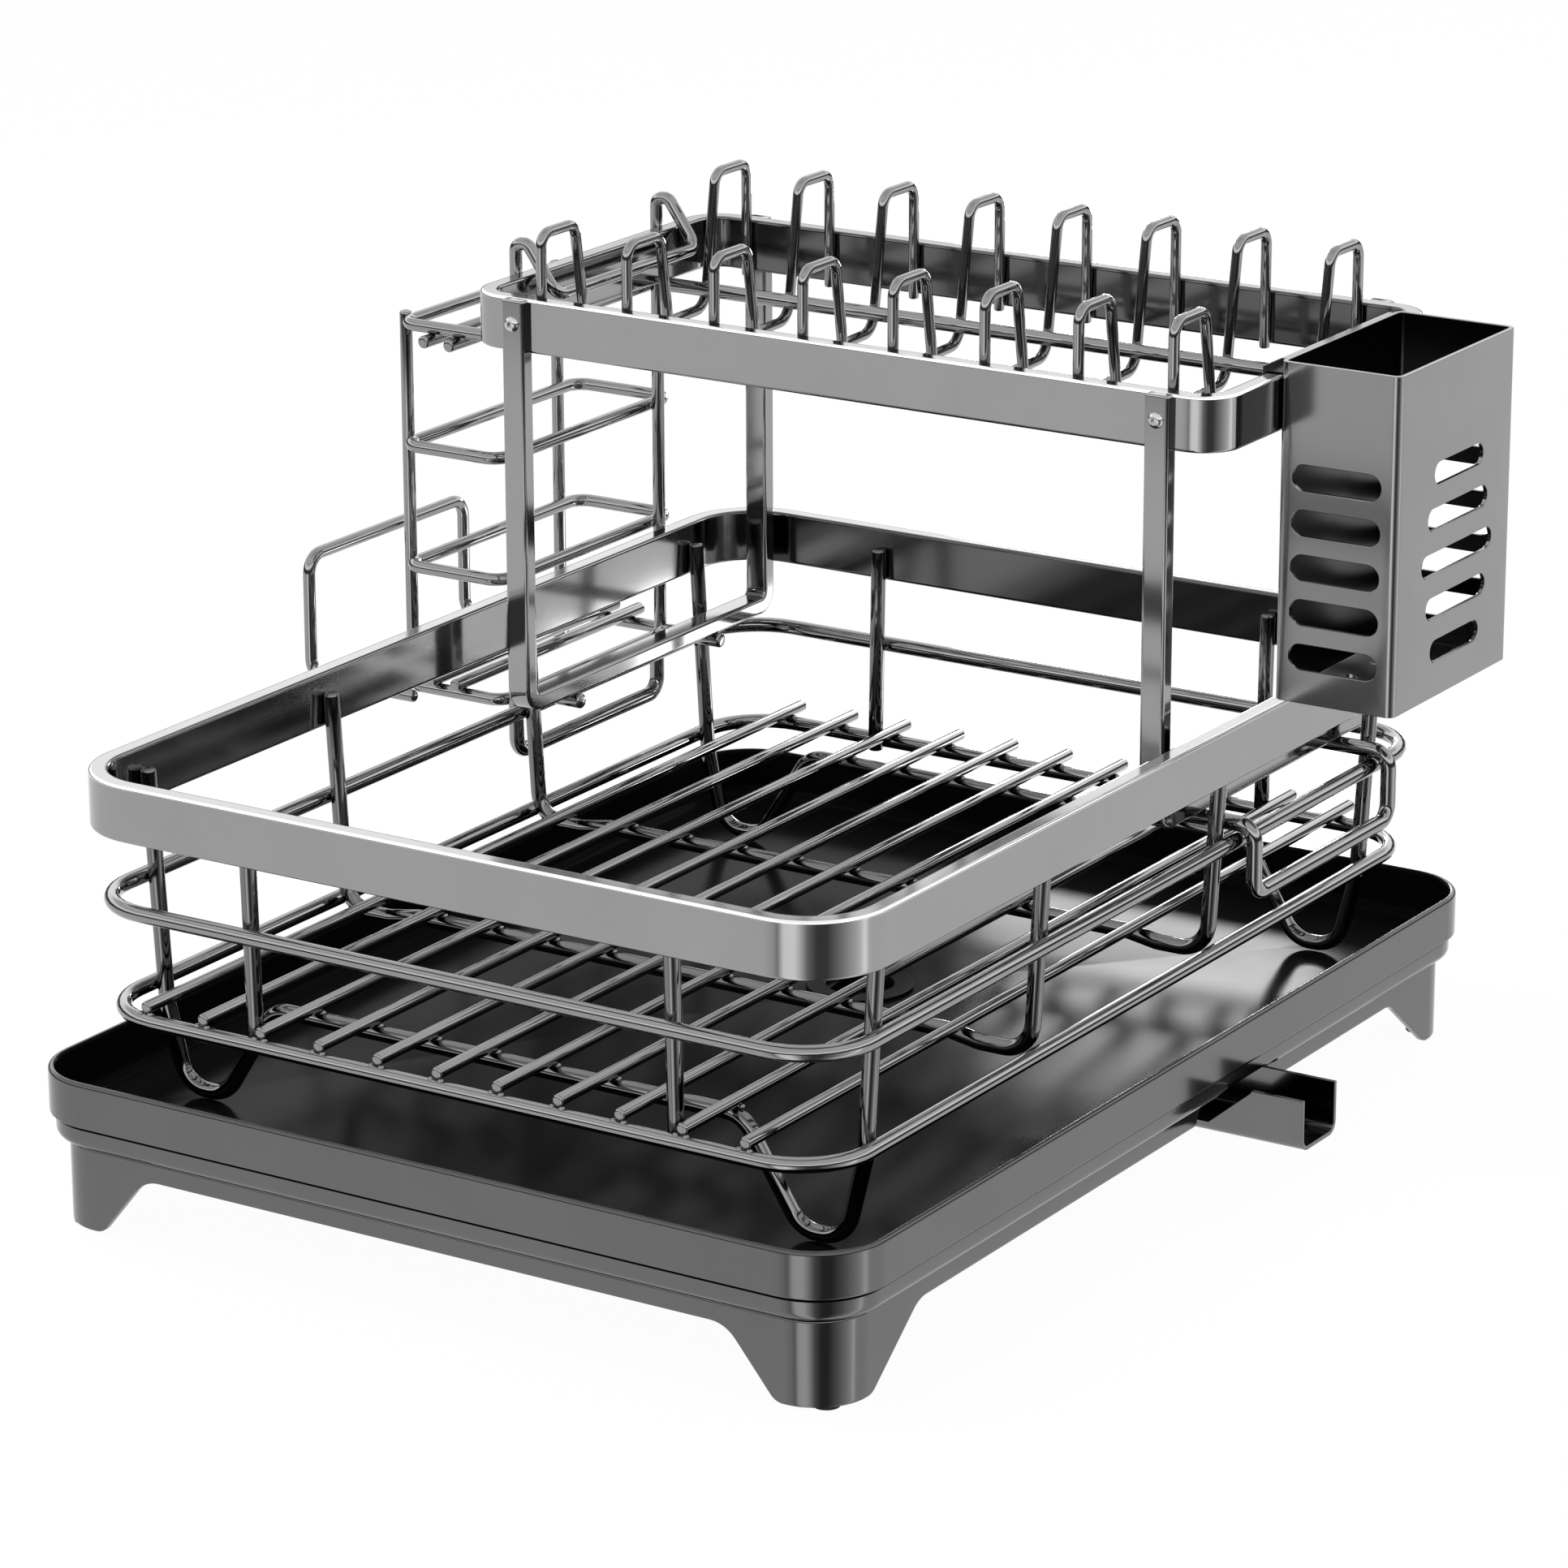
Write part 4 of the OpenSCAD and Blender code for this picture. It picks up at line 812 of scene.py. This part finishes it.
floor_edge = [(x, y, floor_height(x, y)) for x, y, z in wall_loop(FLOOR_INSET, 0)]
rays = [Vector((x, y - DRAIN_Y)) for x, y, z in floor_edge]
seat = [on_floor(ray.normalized() * SEAT_R) for ray in rays]
loops[-1] = floor_edge
loops.append([on_floor(ray * (1 - BESIDE / ray.length)) for ray in rays])
loops.append(seat)
loops.append([(x, y, DRAIN_Z) for x, y, z in seat])
sleeve = [(x * SLEEVE_R / SEAT_R, DRAIN_Y + (y - DRAIN_Y) * SLEEVE_R / SEAT_R, DRAIN_Z)
          for x, y, z in seat]
loops.append(sleeve)
loops.append([(x, y, DRAIN_Z - SHELL) for x, y, z in sleeve])
loops.append([(x, y, floor_height(x, y) - SHELL) for x, y, z in wall_loop(UNDER_INSET, 0)])
work = bmesh.new()
loft(work, loops, closed=True, slots=slots)
tray_gloss = coat("tray coat", tone=0.145, rough=0.13)
# Painted shade: the tray's inside is drawn near black, darker than its outside.
tray_painted_shade = coat("painted shade inside the tray", tone=0.006, rough=0.17, metallic=0.0, gloss=1.07)
# Painted shade: the groove at the foot of the wall and the step line are drawn near black.
tray_groove_shade = coat("painted shade in the tray's grooves", tone=0.01, rough=0.5, metallic=0.0)
# Painted shade: the outer part of the rolled lip is drawn darker than the wall.
tray_lip_shade = coat("painted shade on the tray's lip", tone=0.1, rough=0.18)
tray = make("drip_tray", "tray", "tray_plastic", (tray_gloss, tray_painted_shade, tray_groove_shade, tray_lip_shade), work,
            "tray_basin", angle=32)

ARCH = [(18, 20), (68, 20), (68, 32.2), (67.8, 32.8), (67, 33.2), (31, 33.2), (26, 32.5), (21, 29.2),
        (18.8, 26), (18, 23)]


def cut_arch(piece, x0, x1):
    """Cut the arch that the spout swings in out of a piece, from one place along x to another."""
    work = bmesh.new()
    loft(work, [[(x, y, z) for y, z in ARCH] for x in (x0, x1)])
    work.verts.ensure_lookup_table()
    work.faces.new(work.verts[:len(ARCH)])
    work.faces.new(work.verts[len(ARCH):])
    block = make("arch_block", None, None, tray_gloss, work)
    cut = piece.modifiers.new("arch", "BOOLEAN")
    cut.operation = "DIFFERENCE"
    cut.solver = "EXACT"
    cut.object = block
    bpy.context.view_layer.update()
    mesh = bpy.data.meshes.new_from_object(piece.evaluated_get(bpy.context.evaluated_depsgraph_get()))
    piece.modifiers.remove(cut)
    piece.data = mesh
    mesh.shade_smooth()
    mesh.set_sharp_from_angle(angle=math.radians(32))
    bpy.data.objects.remove(block)


cut_arch(tray, x0=141, x1=163)

# Tray skirt.
# A separate moulded frame carries the tray: four corner feet with sloping sides, a ledge
# inside, and an arch on the right for the spout.
SKIRT_X, SKIRT_Y, SKIRT_R = 153.6, 208.6, 18.6
FOOT_LOW, SKIRT_LOW = 1.0, 23.1


def foot_profile(flat, slope):
    """Height of the skirt's lower edge against the distance from its corner."""
    edge = [(0, 0, FOOT_LOW), (flat, 0, FOOT_LOW), (flat + slope, 0, SKIRT_LOW),
            (flat + 50, 0, SKIRT_LOW)]
    line = bent(edge, bend=(0, 6, 12, 0), steps=6)
    return [(point.x, point.z) for point in line[1:-1]]


def edge_height(profile, distance):
    if distance <= profile[0][0]:
        return FOOT_LOW
    for (x0, z0), (x1, z1) in zip(profile, profile[1:]):
        if distance <= x1:
            return z0 + (z1 - z0) * (distance - x0) / max(x1 - x0, 1e-6)
    return SKIRT_LOW


profile_x = foot_profile(flat=22, slope=18.3)
profile_y = foot_profile(flat=21.5, slope=27.8)
corner_points = outline(SKIRT_X, SKIRT_Y, SKIRT_R)
per_corner = len(corner_points) // 4
path = []
for quarter in range(4):
    cluster = corner_points[quarter * per_corner:(quarter + 1) * per_corner]
    path += cluster
    here, way = cluster[-1]
    there = corner_points[((quarter + 1) * per_corner) % len(corner_points)][0]
    run = (there - here).normalized()
    along_x = abs(run.x) > 0.5
    span = 2 * (SKIRT_X if along_x else SKIRT_Y)
    start = (SKIRT_X if along_x else SKIRT_Y) - abs(here.x if along_x else here.y)
    steps = [x for x, z in (profile_x if along_x else profile_y) if x > start + 1]
    path += [(here + run * (d - start), way) for d in steps + [span - d for d in reversed(steps)]]


def skirt_edge(place, way):
    """Height of the lower edge at a point of the skirt; a corner's arc stands at foot level."""
    if abs(way.y) > 0.999:
        return edge_height(profile_x, SKIRT_X - abs(place.x))
    if abs(way.x) > 0.999:
        return edge_height(profile_y, SKIRT_Y - abs(place.y))
    return FOOT_LOW


lows = [skirt_edge(place, way) for place, way in path]
level = [0] * len(path)


def skirt_loops(points, bases):
    """A loop of the skirt for each (inset, height) point, the height taken from each base."""
    return [[(*(place - way * inset), base + rise) for (place, way), base in zip(path, bases)]
            for inset, rise in points]


# The skirt's section goes up the outside, over the ledge and down the inside.
loops = skirt_loops([(0.5, 0.0), (0.15, 0.15), (0.0, 0.5), (0.0, 0.9)], lows)
loops += skirt_loops([(0, 29.0), (0.05, 29.4), (0.2, 29.62), (0.5, 29.7), (9.6, 29.7), (9.6, 27.3),
                      (2.9, 27.3), (2.6, 27.0)], level)
loops += skirt_loops([(2.6, 0.9), (2.6, 0.5), (2.45, 0.15), (2.1, 0.0)], lows)
work = bmesh.new()
loft(work, loops, closed=True)
skirt = make("tray_frame", "tray", "tray_plastic", tray_gloss, work, "tray_skirt", angle=32)
cut_arch(skirt, x0=141, x1=156)

# Drain, pads and spout.
# A flanged sleeve is the drain and the spout's pivot. The spout is a moulded trough
# on a round cup. Four rubber pads stand under the skirt's feet.
rubber = coat("pad rubber", tone=0.02, rough=0.75, metallic=0.0, ripple=0.2)
spout_gloss = coat("spout coat", tone=0.17, rough=0.14)
# The drain sleeve takes the tray's painted shade.
eased_copy("drain_sleeve", "drain_collar", "tray", "drain_plastic", tray_painted_shade, edge=0.3)
eased_copy("rubber_pads", "foot_pads", "tray", "pad_rubber", rubber, edge=0.3)
eased_copy("trough", "swivel_spout", "spout", "spout_plastic", spout_gloss, edge=0.25)

# Weld beads.
# Where wires cross they are spot-welded, and a small bead of steel shows on each side of
# the crossing.
BEAD = [(0.01, -0.85), (0.6, -0.75), (1.0, -0.4), (1.1, 0), (1.0, 0.4), (0.6, 0.75), (0.01, 0.85)]
FLOOR_BEAD, FLOOR_BEAD_Z = 1.9, 75.9  # how far a bead stands from the rod's middle, and how high
PLATE_BEAD_OUT, PLATE_BEAD_Z = 40.2, 248.5
CAGE_BEAD = 1.4
UP, RIGHT = (0, 0, 1), (1, 0, 0)
work = bmesh.new()
turned_shape(work, BEAD, 12)
pattern = make("bead_pattern", None, None, wire_steel, work)
rod_places = [first_floor_x + i * FLOOR_PITCH for i in range(FLOOR_RODS)]
inner_places = rod_places[1:-1]
foot_places = [x for x in inner_places if abs(x) < 92]
crossings = [(x, y) for x in rod_places for y in (-BOTTOM_RING_Y, BOTTOM_RING_Y)]
crossings += [(x, y) for x in foot_places for y in (-FOOT_Y, FOOT_Y)]
crossings += [(x, y) for x in inner_places for y in (CROSS_FRONT_Y, CROSS_REAR_Y)]
basket_beads = [((x + dx, y, FLOOR_BEAD_Z), UP) for x, y in crossings
                for dx in (-FLOOR_BEAD, FLOOR_BEAD)]
tier_beads = [((first_plate_x + i * PLATE_PITCH, TIER_MID + way * PLATE_BEAD_OUT, PLATE_BEAD_Z),
               (0, way, 0.15)) for i in range(PLATE_RODS) for way in (-1, 1)]
cage_beads = [((x, y + dy, z), RIGHT) for x, ends in ((-155.3, (HOOK_FRONT_Y, HOOK_REAR_Y)),
                                                     (-201.3, (OUTER_FRONT_Y, OUTER_REAR_Y)))
              for z in CAGE_ROWS for y in ends for dy in (-CAGE_BEAD, CAGE_BEAD)]
for name, body, places in (("basket_beads", "basket", basket_beads),
                           ("tier_beads", "tier", tier_beads),
                           ("holder_beads", "side_holder", cage_beads)):
    grown(name, body, "coated_steel", on_points, facing_points(name + "_points", places),
          {"Pattern": pattern, "Coat": wire_steel})
bpy.data.objects.remove(pattern)
